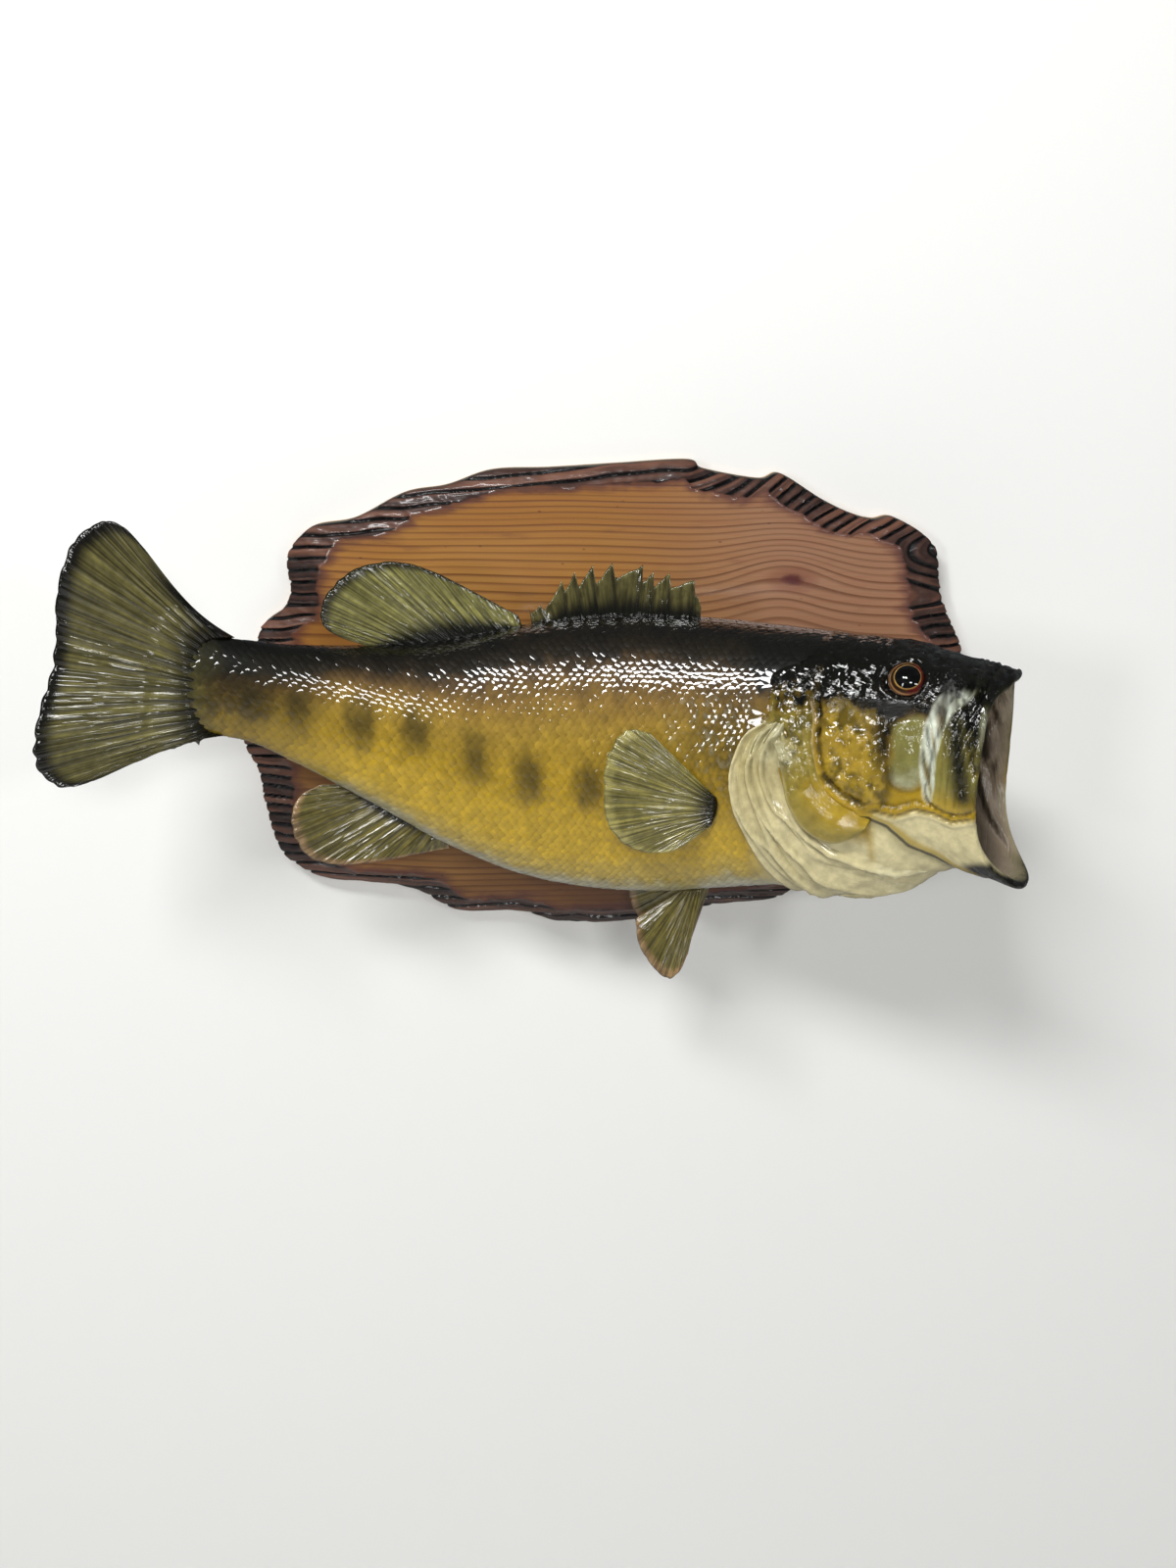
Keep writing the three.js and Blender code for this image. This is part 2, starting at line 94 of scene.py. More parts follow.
def curve(points, parts, closed=False):
    """A smooth line through points, read at parts from 0 to 1."""
    points = np.asarray(points, float)
    count = len(points)
    place = np.asarray(parts, float) * (count if closed else count - 1)
    first = np.floor(place).astype(int)
    if closed:
        picks = [(first + step) % count for step in (-1, 0, 1, 2)]
        ends = [points[pick] for pick in picks]
    else:
        first = np.clip(first, 0, count - 2)
        padded = np.concatenate([[2 * points[0] - points[1]], points, [2 * points[-1] - points[-2]]])
        ends = [padded[first + step] for step in (0, 1, 2, 3)]
    part = (place - first)[..., None]
    before, start, end, after = ends
    return 0.5 * (
        2 * start + (end - before) * part
        + (2 * before - 5 * start + 4 * end - after) * part ** 2
        + (3 * start - before - 3 * end + after) * part ** 3
    )


def inside(x, y, outline):
    """Distance to a closed outline, above 0 inside it."""
    start = np.asarray(outline, float)
    end = np.roll(start, -1, axis=0)
    run, climb = (end - start).T
    right = x[..., None] - start[:, 0]
    above = y[..., None] - start[:, 1]
    part = np.clip((right * run + above * climb) / (run ** 2 + climb ** 2 + 1e-9), 0, 1)
    gap = np.hypot(right - part * run, above - part * climb).min(-1)
    straddles = (start[:, 1] > y[..., None]) != (end[:, 1] > y[..., None])
    safe = np.where(climb == 0, 1e-9, climb)
    within = (straddles & (right < run * above / safe)).sum(-1) % 2 == 1
    return np.where(within, gap, -gap)


def from_line(x, y, line):
    """Distance to an open line, and how far along it the nearest point is."""
    line = np.asarray(line, float)
    start, end = line[:-1], line[1:]
    run, climb = (end - start).T
    right = x[..., None] - start[:, 0]
    above = y[..., None] - start[:, 1]
    part = np.clip((right * run + above * climb) / (run ** 2 + climb ** 2 + 1e-9), 0, 1)
    gaps = np.hypot(right - part * run, above - part * climb)
    nearest = gaps.argmin(-1)
    where = np.take_along_axis(part, nearest[..., None], -1)[..., 0]
    return gaps.min(-1), (nearest + where) / len(start)


def level_of(line, along):
    """The height of a line at each place along."""
    return np.interp(along, *np.array(line).T)


def folded(hills, sharpness=2.0):
    """Hills turned into narrow folds, 1 along their crests."""
    return 1 - sharpness * np.abs(hills)


# ---- the fish's form

SPINE_NEAREST_X = -25.0
SPINE_STAND_OFF = 62.0
HEAD_BEND_RADIUS = 247.0
HEAD_TURN = math.radians(29)
TAIL_BEND_RADIUS = 425.0
TAIL_TURN = math.radians(26.6)
BOARD_FACE = 20.0
BOARD_GAP = 0.7
TAIL_END = -212.0
LIP_PLACE = 244.0
GULLET_PLACE = 168.0

# place along, back, belly, half width, height of the widest line, squareness above, below
STATIONS = np.array([
    (-212, 50, 2, 3.2, 26, 1.0, 1.0),
    (-196, 51, -2, 7, 24, 1.0, 1.0),
    (-176, 48, -8, 11.5, 20, 0.95, 0.95),
    (-152, 44, -22, 17, 12, 0.92, 0.92),
    (-110, 42, -48, 27, -2, 0.9, 0.9),
    (-70, 44, -73, 35, -12, 0.9, 0.88),
    (-26, 52, -92, 43, -18, 0.9, 0.86),
    (18, 58.5, -100, 47, -19, 0.9, 0.86),
    (62, 60, -99, 49, -18, 0.88, 0.88),
    (100, 59.5, -92, 48, -16, 0.86, 0.9),
    (130, 59, -86, 46, -13, 0.84, 0.92),
    (160, 59, -84, 43, -10, 0.82, 0.95),
    (186, 58.5, -80, 41, -8, 0.8, 0.98),
    (205, 56, -72, 40, -4, 0.8, 0.95),
    (218, 53, -58, 39, -1, 0.8, 0.85),
    (230, 50.5, -59, 38.5, 0, 0.8, 0.85),
    (244, 48, -63, 38, 0, 0.8, 0.85),
])


def section(along):
    """Back, belly, half width, widest height and the two squarenesses at a place."""
    places = STATIONS[:, 0]
    last = len(STATIONS) - 1
    left = np.clip(np.searchsorted(places, along) - 1, 0, last - 1)
    start, end = STATIONS[left], STATIONS[left + 1]
    before, after = STATIONS[np.maximum(0, left - 1)], STATIONS[np.minimum(last, left + 2)]
    span = end[..., 0] - start[..., 0]
    part = ((along - start[..., 0]) / span)[..., None]
    slope = (end - before) / (end - before)[..., :1] * span[..., None]
    slope_after = (after - start) / (after - start)[..., :1] * span[..., None]
    square, cube = part ** 2, part ** 3
    values = (
        (2 * cube - 3 * square + 1) * start + (cube - 2 * square + part) * slope
        + (3 * square - 2 * cube) * end + (cube - square) * slope_after
    )
    return [values[..., key] for key in range(1, 7)]


def skin_point(along, turn, grow=0.0):
    """A point of the body, turned from its right side (0) over the back (a quarter)."""
    along, turn = np.broadcast_arrays(np.asarray(along, float), np.asarray(turn, float))
    back, belly, half, widest, crown, keel = section(along)
    rise, out = np.sin(turn), np.cos(turn)
    power = np.where(rise > 0, crown, keel)
    height = np.where(rise > 0, back - widest, widest - belly) + grow
    lean = np.where(rise > 0, -3 + 8 * np.abs(rise) ** 8, -3 + 23 * np.abs(rise) ** 3)
    return np.stack([
        along + lean * smooth(196, LIP_PLACE, along),
        widest + height * np.sign(rise) * np.abs(rise) ** power,
        (half + grow) * np.sign(out) * np.abs(out) ** power,
    ], -1)


def turn_at(along, up):
    """How far round the right flank a height lies."""
    back, belly, _half, widest, crown, keel = section(along)
    above = up > widest
    height = np.where(above, back - widest, widest - belly)
    rise = np.clip(np.abs(up - widest) / height, 0, 1) ** (1 / np.where(above, crown, keel))
    return np.where(above, 1, -1) * np.arcsin(rise)


def pose(points):
    """From the straight fish, in millimetres, to the curved one, in metres.

    The far flank is pressed flat where it is fixed to the board.
    """
    along, up, out = points[..., 0], points[..., 1], points[..., 2]
    headwards = along > 0
    radius = np.where(headwards, HEAD_BEND_RADIUS, TAIL_BEND_RADIUS)
    turn = np.minimum(np.abs(along) / radius, np.where(headwards, HEAD_TURN, TAIL_TURN))
    beyond = np.abs(along) - turn * radius
    reach = radius * np.sin(turn) + beyond * np.cos(turn)
    distance = SPINE_STAND_OFF + radius * (1 - np.cos(turn)) + beyond * np.sin(turn)
    x = SPINE_NEAREST_X + np.where(headwards, 1, -1) * (reach - out * np.sin(turn))
    y = np.minimum(-(distance + out * np.cos(turn)), -(BOARD_FACE + BOARD_GAP))
    return np.stack([x, y, up], -1) * MM


# ---- meshes

MERGE_DISTANCE = 2e-6


def flat_grid(name, columns, rows, size):
    """A flat grid of quads."""
    grid = bmesh.new()
    bmesh.ops.create_grid(grid, x_segments=columns, y_segments=rows, size=size)
    return as_mesh(name, grid)


def as_mesh(name, shape):
    """A finished shape as a mesh."""
    mesh = bpy.data.meshes.new(name)
    shape.to_mesh(mesh)
    shape.free()
    return mesh


def add_mark(mesh, name, values):
    """Gives each vertex its own strength of a marking."""
    layer = mesh.attributes.new(name, "FLOAT", "POINT")
    layer.data.foreach_set("value", np.ascontiguousarray(values, np.float32).reshape(-1))


def sheet(points, marks):
    """A sheet of quads over rows and columns of points, with its markings."""
    rows, columns = points.shape[:2]
    mesh = flat_grid("sheet", columns - 1, rows - 1, 1)
    mesh.vertices.foreach_set("co", np.ascontiguousarray(points, np.float32).reshape(-1))
    for name, values in marks.items():
        add_mark(mesh, name, np.broadcast_to(values, (rows, columns)))
    return mesh


def leaf(middle, thickness, marks):
    """A closed thin leaf about a middle surface, thinning to nothing at its rim."""
    rows, columns = middle.shape[:2]
    normal = np.cross(np.gradient(middle, axis=1), np.gradient(middle, axis=0))
    normal /= np.linalg.norm(normal, axis=-1, keepdims=True) + 1e-12
    row = np.linspace(-1, 1, rows)[:, None]
    column = np.linspace(-1, 1, columns)[None, :]
    rim = np.sqrt(np.clip((1 - row ** 12) * (1 - column ** 12), 0, 1))
    offset = normal * (thickness * rim / 2)[..., None]
    points = np.concatenate([middle + offset, (middle - offset)[:, -2::-1]], 1)
    both = {}
    for name, values in marks.items():
        front = np.broadcast_to(values, (rows, columns))
        both[name] = np.concatenate([front, front[:, -2::-1]], 1)
    return sheet(pose(points), both)


def piece(name, meshes, material, stands_for=()):
    """One object of several meshes, closed where their edges meet."""
    whole = bmesh.new()
    for mesh in meshes:
        whole.from_mesh(mesh)
        bpy.data.meshes.remove(mesh)
    bmesh.ops.remove_doubles(whole, verts=whole.verts, dist=MERGE_DISTANCE)
    bmesh.ops.recalc_face_normals(whole, faces=whole.faces)
    finish_piece(as_mesh(name, whole), material, stands_for)


def finish_piece(mesh, material, stands_for=(), sharp=None):
    """A mesh as a smooth object that rides on the body, its edges past the sharp angle kept."""
    mesh.shade_smooth()
    if sharp is not None:
        mesh.set_sharp_from_angle(angle=math.radians(sharp))
    mesh.materials.append(material)
    thing = bpy.data.objects.new(mesh.name, mesh)
    bpy.context.scene.collection.objects.link(thing)
    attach(thing, "root")
    if stands_for:
        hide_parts(*stands_for)


# ---- node tools

class Wire:
    """A value running between nodes. A sum or product of wires makes the nodes for it."""

    def __init__(self, socket):
        self.socket = socket
        self.tree = socket.id_data

    def __add__(self, other):
        return maths("ADD", self, other)

    def __sub__(self, other):
        return maths("SUBTRACT", self, other)

    def __mul__(self, other):
        return maths("MULTIPLY", self, other)


def feed(made, inputs):
    """Gives a node's inputs their values, or joins them to wires."""
    for key, value in inputs.items():
        if isinstance(value, Wire):
            value.tree.links.new(value.socket, made.inputs[key])
        else:
            made.inputs[key].default_value = value


def node(tree, kind, inputs=None, **settings):
    """A new node with its settings and its inputs."""
    made = tree.nodes.new(kind)
    for name, value in settings.items():
        setattr(made, name, value)
    feed(made, inputs or {})
    return made


def wire(tree, kind, inputs=None, output=0, **settings):
    """The wire from one output of a new node."""
    return Wire(node(tree, kind, inputs, **settings).outputs[output])


def maths(operation, first, second=0.0, clamp=False):
    """One step of maths on a wire and a wire or number."""
    return wire(first.tree, "ShaderNodeMath", {0: first, 1: second},
                operation=operation, use_clamp=clamp)


def vectors(operation, first, second, output=0):
    """One step of maths on places or directions."""
    return wire(first.tree, "ShaderNodeVectorMath", {0: first, 1: second}, output,
                operation=operation)


def mix(part, first, second, blend_type="MIX"):
    """The first colour mixed with the second, by a part from 0 to 1."""
    tree = next(value.tree for value in (part, first) if isinstance(value, Wire))
    return wire(tree, "ShaderNodeMix", {"Factor": part, 6: first, 7: second}, 2,
                data_type="RGBA", blend_type=blend_type)


def shaded(paint, shade):
    """Paint made darker or lighter by a value."""
    grey = wire(shade.tree, "ShaderNodeCombineColor", {0: shade, 1: shade, 2: shade})
    return mix(1.0, paint, grey, "MULTIPLY")


def colour(red, green, blue):
    """A colour from its 0 to 255 values."""
    return tuple(
        (v / 255 / 12.92 if v / 255 <= 0.04045 else ((v / 255 + 0.055) / 1.055) ** 2.4)
        for v in (red, green, blue)
    ) + (1.0,)


def ramp(value, stops):
    """A colour for each value, between stops of place and colour."""
    made = node(value.tree, "ShaderNodeValToRGB", {0: value})
    band = made.color_ramp
    while len(band.elements) < len(stops):
        band.elements.new(0.5)
    for element, (place, tint) in zip(band.elements, stops):
        element.position = place
        element.color = tint
    return Wire(made.outputs[0])


def spread(value, low, high, new_low=0.0, new_high=1.0):
    """A value between low and high carried softly onto new ends."""
    return wire(value.tree, "ShaderNodeMapRange",
                {0: value, 1: low, 2: high, 3: new_low, 4: new_high},
                interpolation_type="SMOOTHSTEP")


def grain(place, scale, detail=3.0, roughness=0.55, distortion=0.0):
    """Soft cloudy noise from 0 to 1."""
    return wire(place.tree, "ShaderNodeTexNoise", {
        "Vector": place, "Scale": scale, "Detail": detail, "Roughness": roughness,
        "Distortion": distortion,
    }, "Fac")


def stretched(place, factors):
    """A place with each axis scaled, which draws a pattern out."""
    return vectors("MULTIPLY", place, factors)


def bumped(height, strength, distance):
    """A normal that follows a height."""
    return wire(height.tree, "ShaderNodeBump",
                {"Height": height, "Strength": strength, "Distance": distance}, "Normal")


def mark(tree, name):
    """The strength of one of the mesh's markings."""
    return wire(tree, "ShaderNodeAttribute", output="Fac", attribute_name=name)


def object_place(tree):
    """The place in the piece's own frame."""
    return wire(tree, "ShaderNodeTexCoord", output="Object")


def group(name, inputs, outputs):
    """A node group with named sockets, and the wires it is given."""
    tree = bpy.data.node_groups.new(name, "ShaderNodeTree")
    kinds = {"colour": "NodeSocketColor", "value": "NodeSocketFloat", "place": "NodeSocketVector"}
    for way, sockets in (("INPUT", inputs), ("OUTPUT", outputs)):
        for label, kind in sockets.items():
            tree.interface.new_socket(name=label, in_out=way, socket_type=kinds[kind])
    given = node(tree, "NodeGroupInput").outputs
    return tree, {label: Wire(given[label]) for label in inputs}


def blank(name):
    """A new material with a plain surface, and its node tree."""
    material = bpy.data.materials.new(name)
    material.use_nodes = True
    return material, material.node_tree


def dressed(material, **looks):
    """The material, with its surface's looks set to values or joined to wires."""
    shader = material.node_tree.nodes["Principled BSDF"]
    feed(shader, {label.replace("_", " "): value for label, value in looks.items()})
    return material


# ---- markings of the fish

EYE_ALONG = 198.0
EYE_TURN = math.radians(50)
EYE_RADIUS = 12.0
EYE_SUNK = 8.4
EYE_UP = 44.0
EYE_SHOWN = 9.2
GLASS_DEPTH = 0.7
GLASS_BULGE = 0.04
EYE_TURNS = 73
EYE_RINGS = 60

MAXILLA = curve([
    (224, 38), (231, 34), (235, 14), (240, 0), (243.5, -11), (239, -16), (229, -18.5),
    (218, -13), (217.5, -1), (219, 16), (221.5, 30),
], np.arange(48) / 48, closed=True)
SUPRAMAXILLA = curve([
    (196, 22), (203, 27), (212, 28), (213.5, 14), (215, -2), (209, -8), (200, -6), (197, 8),
], np.arange(40) / 40, closed=True)
CHEEK = curve([
    (160, 30), (176, 33), (190, 27), (194, 10), (197, -6), (192, -20), (178, -18), (166, -10),
    (160, 4),
], np.arange(40) / 40, closed=True)
PALE_STRIP = [(227, 42), (220, 33), (217, 22), (216, 8), (217, -4), (217.5, -12)]
PREOPERCLE = [(152, 33), (155, 23), (156, 11), (158, 0), (161, -9), (167, -16), (177, -22), (190, -26)]
JAW_FOLD = [(184, -25), (192, -23), (202, -24), (212, -19), (221, -20), (230, -23), (240, -20)]
JAW_EDGE = [(190, -26), (199, -29), (210, -38), (223, -45), (234, -53), (244, -58)]
DARK_LINE = [
    (104, 54), (112, 48), (122, 38), (132, 33), (150, 35), (162, 29), (172, 30), (184, 26),
    (193, 20), (205, 28), (220, 33), (232, 22), (246, 14),
]
NOSTRILS = [(213, 47.5), (217.5, 46.5)]
MOUTH_GROOVES = [
    [(231, -15), (233, -24), (236, -38), (242, -50)], [(236, 24), (240.5, 12), (242, -2), (240, -11)],
]
BLOTCH_LENGTH = 12.5
BLOTCH_HEIGHT = 18.5
BLOTCHES = [
    (-177, 18), (-152, 14), (-120, 5), (-89, 0), (-53, -14), (-22, -24), (16, -28), (62, -30),
]


def rise_of(along, up):
    """Height on the body, from 0 at the belly line to 1 at the back."""
    back, belly, *_rest = section(np.clip(along, TAIL_END, LIP_PLACE))
    return (up - belly) / (back - belly)


def markings(along, up):
    """The strength of each marking of the right or left side."""
    wander = rough(along / 9, up / 9, 3)
    fine = rough(along / 3.2, up / 3.2, 4)
    on_head = smooth(118, 150, along)
    stalk = 1 - smooth(-190, -112, along)
    rise = rise_of(along, up) + 0.02 * wander + 0.2 * stalk
    zero = np.zeros_like(rise)

    blotch = zero
    for number, (place, height) in enumerate(BLOTCHES):
        distance = np.hypot((along - place) / BLOTCH_LENGTH, (up - height) / BLOTCH_HEIGHT)
        distance = distance + 0.16 * rough(along / 6, up / 9, 10 + number)
        blotch = np.maximum(blotch, 0.82 * (1 - smooth(0.1, 1.3, distance)))
    smudge = smooth(50, 108, along) * bump(up, 4, 62) * (1 - on_head)
    smudge = smudge * np.clip(0.85 + 0.45 * fine, 0, 1)

    # the dark top of the head, coming down behind and before the eye
    dark_line = 5.0 * wander + 3.0 * fine + level_of(DARK_LINE, along)
    black = smooth(-8, 5, up - dark_line) * smooth(104, 120, along)
    shadow = bump(along + 0.1 * up, 194, 9) * smooth(-18, 14, up + 3 * fine)
    black = np.maximum(black, 0.92 * shadow)
    black = np.maximum(black, 0.72 * smudge)
    stalk_black = np.maximum(smooth(-192, -208, along), smooth(4, 16, up + 4 * fine))
    stalk_black = (0.5 + 0.25 * stalk_black) * stalk * np.clip(0.95 + 0.3 * fine, 0, 1)
    black = np.maximum(black, stalk_black)
    ridge_gap, ridge_part = from_line(along, up, PREOPERCLE)
    # painted shade: dark strips in the groove either side of the preopercle ridge
    beside = bump(ridge_gap, 4, 3.6) * (1 - smooth(0.3, 0.65, ridge_part))
    black = np.maximum(black, 0.8 * beside * np.clip(0.6 + 0.8 * wander, 0, 1))
    chin = smooth(-3, 3, -(up + 46) + 0.35 * (along - 244)) * smooth(231, 240, along)
    black = np.maximum(black, chin)

    in_maxilla = inside(along, up, MAXILLA)
    maxilla = smooth(-0.8, 0.6, in_maxilla)
    streak = bump(along, 229 + 0.22 * (18 - up), 8.6) * smooth(-18, -8, up)
    before_mouth = smooth(226, 233, along) * smooth(-14, -4, up) * (1 - maxilla)
    lip_stripe = bump(along, 240.5 - 0.08 * (up - 20), 2.4) * bump(up, 22, 17)
    black = np.maximum(black, maxilla * streak * 0.95)
    black = np.maximum(black, maxilla * 0.8 * smooth(16, 26, up))
    black = np.maximum(black, before_mouth * 0.8 * (0.8 + 0.2 * fine))
    black = black * (1 - 0.75 * lip_stripe)

    pale_gap, pale_part = from_line(along, up, PALE_STRIP)
    width = blend(6.6, 3.0, pale_part)
    pale = (1 - smooth(0.75, 1.15, pale_gap / width)) * (1 - smooth(38, 44, up))
    strands = waves(along * 0.58 + up * 0.17, up / 14, 5)
    pale = pale * np.clip(0.72 + 0.7 * strands, 0, 1)
    pale = np.maximum(pale, 0.6 * lip_stripe)
    # whitish specks behind the gill cover: painted glints
    pale = np.maximum(pale, 0.3 * smudge * smooth(0.0, 1.0, fine) * smooth(34, 24, up))
    # painted highlight along the crest of the preopercle ridge
    ridge_highlight = bump(ridge_gap, 0, 2.0) * (1 - smooth(0.4, 0.7, ridge_part))
    pale = np.maximum(pale, 0.16 * ridge_highlight * smooth(140, 150, along))
    black = black * (1 - 0.8 * pale)
    in_supra = inside(along, up, SUPRAMAXILLA)
    olive = smooth(-2.5, 3.5, in_supra + 1.2 * wander)
    # the supramaxilla's lower part painted paler: a painted sheen
    pale = np.maximum(pale, 0.22 * olive * (1 - smooth(-6, 8, up + 2 * wander)))
    black = black * (1 - 0.9 * smooth(-2.0, 4.5, in_supra + 1.2 * wander))

    in_cheek = inside(along, up, CHEEK)
    gold = smooth(-6, 7, in_cheek) * np.clip(0.65 + 0.35 * wander, 0, 1)
    black = np.maximum(black, 0.66 * smooth(-6, 0, in_cheek) * smooth(0.1, 0.8, wander + 0.25 * fine))
    gold = np.maximum(gold, maxilla * (1 - smooth(-15, 2, up)))
    olive = np.maximum(olive, maxilla * 0.85 * smooth(-18, -2, up))
    olive = np.maximum(olive, 0.8 * before_mouth)
    fold_gap, _part = from_line(along, up, JAW_FOLD)
    edge_gap, _part = from_line(along, up, JAW_EDGE)
    past_joint = smooth(186, 194, along)
    cream = smooth(-1, 2.5, level_of(JAW_FOLD, along) - up) * past_joint
    above_edge = smooth(-1, 1.5, up - level_of(JAW_EDGE, along))
    gold = np.maximum(gold, 0.7 * bump(fold_gap, 0, 2.6) * past_joint)
    below_jaw = past_joint * (1 - above_edge)
    cream = np.maximum(cream, below_jaw * smooth(2, 14, edge_gap) * 0.8)
    throat = on_head * (1 - smooth(-46, -34, up)) * (1 - past_joint)
    cream = np.maximum(cream, throat)
    olive = np.maximum(olive, 0.8 * (1 - smooth(-214, -186, along + 3 * wander)))
    marks = {
        "rise": rise, "blotch": np.maximum(blotch, 0.4 * stalk * bump(up, 22, 28)),
        "black": black, "gold": gold, "olive": olive, "pale": pale, "cream": cream, "flesh": zero,
    }
    return {name: np.clip(values, 0, 1) for name, values in marks.items()}


NO_JAW = 8.0


def jaw_distance(along, up):
    """Distance above (or, below 0, under) the edge of the lower jaw, up to NO_JAW."""
    gap, _part = from_line(along, up, JAW_EDGE)
    above = up > level_of(JAW_EDGE, along)
    return np.clip(np.where(above, gap, -gap), -NO_JAW, NO_JAW)


def crease_depth(height, reach=2):
    """How far each spot of a grid lies below those round it, from 0 to 1: how much shade is painted into
    a crease.
    """
    wide = np.pad(height, reach, mode="edge")
    rows, columns = height.shape
    around = (
        wide[:rows, reach:-reach] + wide[2 * reach:, reach:-reach]
        + wide[reach:-reach, :columns] + wide[reach:-reach, 2 * reach:]
    )
    return np.clip((around / 4 - height) / 0.45, 0, 1)


# ---- skin

def head_line(up):
    """Where the scales end, at each height."""
    return np.interp(up, [-100, -40, -10, 10, 40, 48, 60], [132, 121, 121, 128, 131, 146, 152])


def relief(along, up, side):
    """How far the head's skin stands out from, or sinks into, its plain form."""
    on_head = smooth(118, 135, along)
    shift = 40 * (side < 0)
    height = 0.35 * rough(along / 14 + shift, up / 14, 21) * on_head
    height += 0.55 * smooth(-5, 0, along - head_line(up))

    in_maxilla = inside(along, up, MAXILLA)
    height += 1.7 * smooth(-0.4, 1.6, in_maxilla) - 0.7 * bump(in_maxilla, -1.2, 1.4)
    height += 0.35 * smooth(0, 2, in_maxilla) * waves(along * 0.9 + shift, up / 14, 22)
    in_supra = inside(along, up, SUPRAMAXILLA)
    height += 0.8 * smooth(-2.5, 4, in_supra) - 0.3 * bump(in_supra, -2, 2)
    in_cheek = inside(along, up, CHEEK)
    height += 1.7 * smooth(-3, 8, in_cheek) * (0.8 + 0.55 * rough(along / 6, up / 6, 23, 2))

    pale_gap, pale_part = from_line(along, up, PALE_STRIP)
    strip = 1 - smooth(0.8, 1.2, pale_gap / blend(5.6, 1.6, pale_part))
    wrinkles = waves(along * 0.5 + up * 0.15 + shift, up / 14, 24)
    height += strip * (-0.8 + 0.95 * wrinkles)

    ridge_gap, ridge_part = from_line(along, up, PREOPERCLE)
    uneven = 1 + 0.5 * waves(along / 5 + shift, up / 5, 51)
    ridge = 0.9 * uneven * bump(ridge_gap, 0, 2.4) * smooth(0.6, 0.75, ridge_part)
    height -= 1.5 * bump(ridge_gap, 3.8, 2.8) * smooth(1.0, 0.85, ridge_part) * uneven

    brow = smooth(150, 170, along) * smooth(24, 34, up)
    lines = rough(along / 11 + shift, up / 3.4 + 0.12 * along, 25, 2)
    creases = folded(waves(along / 13 + shift, up / 4.0 + 0.2 * along, 28))
    height += brow * (0.35 * lines + 0.3 * creases)
    snout = smooth(222, 232, along) * smooth(-12, 12, up)
    folds = folded(rough((along - 0.2 * up) / 3.4 + shift, up / 20, 26, 2), 1.6)
    height += snout * 1.2 * folds

    fold_gap, _part = from_line(along, up, JAW_FOLD)
    edge_gap, _part = from_line(along, up, JAW_EDGE)
    fold = 1.3 * bump(fold_gap, 1.6, 3.0)
    height += np.maximum(ridge, np.maximum(fold, 0.9 * bump(edge_gap, 0, 3.4)))
    height -= 0.9 * bump(fold_gap, 0, 1.6) * smooth(187, 193, along)
    jaw = smooth(190, 200, along) * smooth(20, 26, -up)
    height += jaw * 0.45 * rough(along / 14 + shift, up / 7 + along / 10, 27, 2)
    nape = smooth(120, 135, along) * smooth(34, 44, up)
    height += nape * 0.3 * folded(waves(along / 16 + shift, up / 3.4 + 0.05 * along, 29))

    from_eye = np.hypot(along - EYE_ALONG, (up - EYE_UP) * 1.22)
    height += 0.7 * bump(from_eye, 12.0, 2.2) - 1.5 * (1 - smooth(8.8, 11.5, from_eye))
    nostril = np.minimum(*[np.hypot(along - place, up - level) for place, level in NOSTRILS])
    height += 0.2 * bump(nostril, 1.7, 0.7) - 1.3 * (1 - smooth(0.4, 1.3, nostril))
    return height


def turn_rows(near, far):
    """Turns right round the body, closer together on the side that faces the room."""
    def quarter(count):
        """A quarter turn, its steps a little closer at both ends."""
        part = np.linspace(0, 1, count + 1)
        even = part ** 1.16 / (part ** 1.16 + (1 - part) ** 1.16)
        return even * math.pi / 2
    up, over = quarter(near), quarter(far)
    return np.concatenate([
        up[:-1], math.pi - over[:0:-1], math.pi + over[:-1], 2 * math.pi - up[:0:-1], [2 * math.pi],
    ])


SKIN_DEPTH = 0.5
BODY_STEPS = 26
HEAD_STEPS = 184
LINING_STEPS = 44
MOUTH_WALL = 5.0
GULLET_WALL = 20.0
LIP_START = LIP_PLACE - 2.0
LIP_STEPS = 8
NEAR_TURNS = 76
FAR_TURNS = 32


def mouth_lining(turns):
    """The mouth's lining from the lip to the gullet, with how deep its folds are and how much shade is
    painted into it.
    """
    part = np.linspace(1, 0, LINING_STEPS)[None, :] ** 1.2
    wall = blend(GULLET_WALL, MOUTH_WALL, smooth(0, 0.7, part))
    along = blend(GULLET_PLACE, LIP_START, part)
    height = skin_point(along, turns, -wall)[..., 1]
    folds = 1.2 * waves(along / 6.5 + 0.07 * height, height / 30, 31)
    folds += 0.7 * rough(along / 3.0 + 0.05 * height, height / 18, 32)
    folds += 0.8 * waves(4 * np.sin(turns), along / 22 + 4 * np.cos(turns), 33)
    recess = np.hypot((along - 234) / 4.8, (height - 2.5) / 12.5)
    folds -= 2.2 * (1 - smooth(0.75, 1.0, recess))
    folds += bump(recess, 1.25, 0.3)
    for line in MOUTH_GROOVES:
        gap, _part = from_line(along + 0 * height, height, line)
        folds -= 2.4 * bump(gap, 0, 2.6)
        folds += 0.9 * bump(gap, 4.5, 2.5)
    folds *= smooth(1.0, 0.93, part) * smooth(0, 0.1, part)
    lining = skin_point(along, turns, -wall + 0.4 + folds)
    # painted shade: the lining is painted darker towards the gullet and in its lower half
    low = smooth(10, -30, height) * smooth(1.0, 0.8, part) * smooth(0.3, 0.6, part)
    deep = np.maximum(smooth(0.9, 0.2, part), 0.6 * low)
    return lining, folds, deep


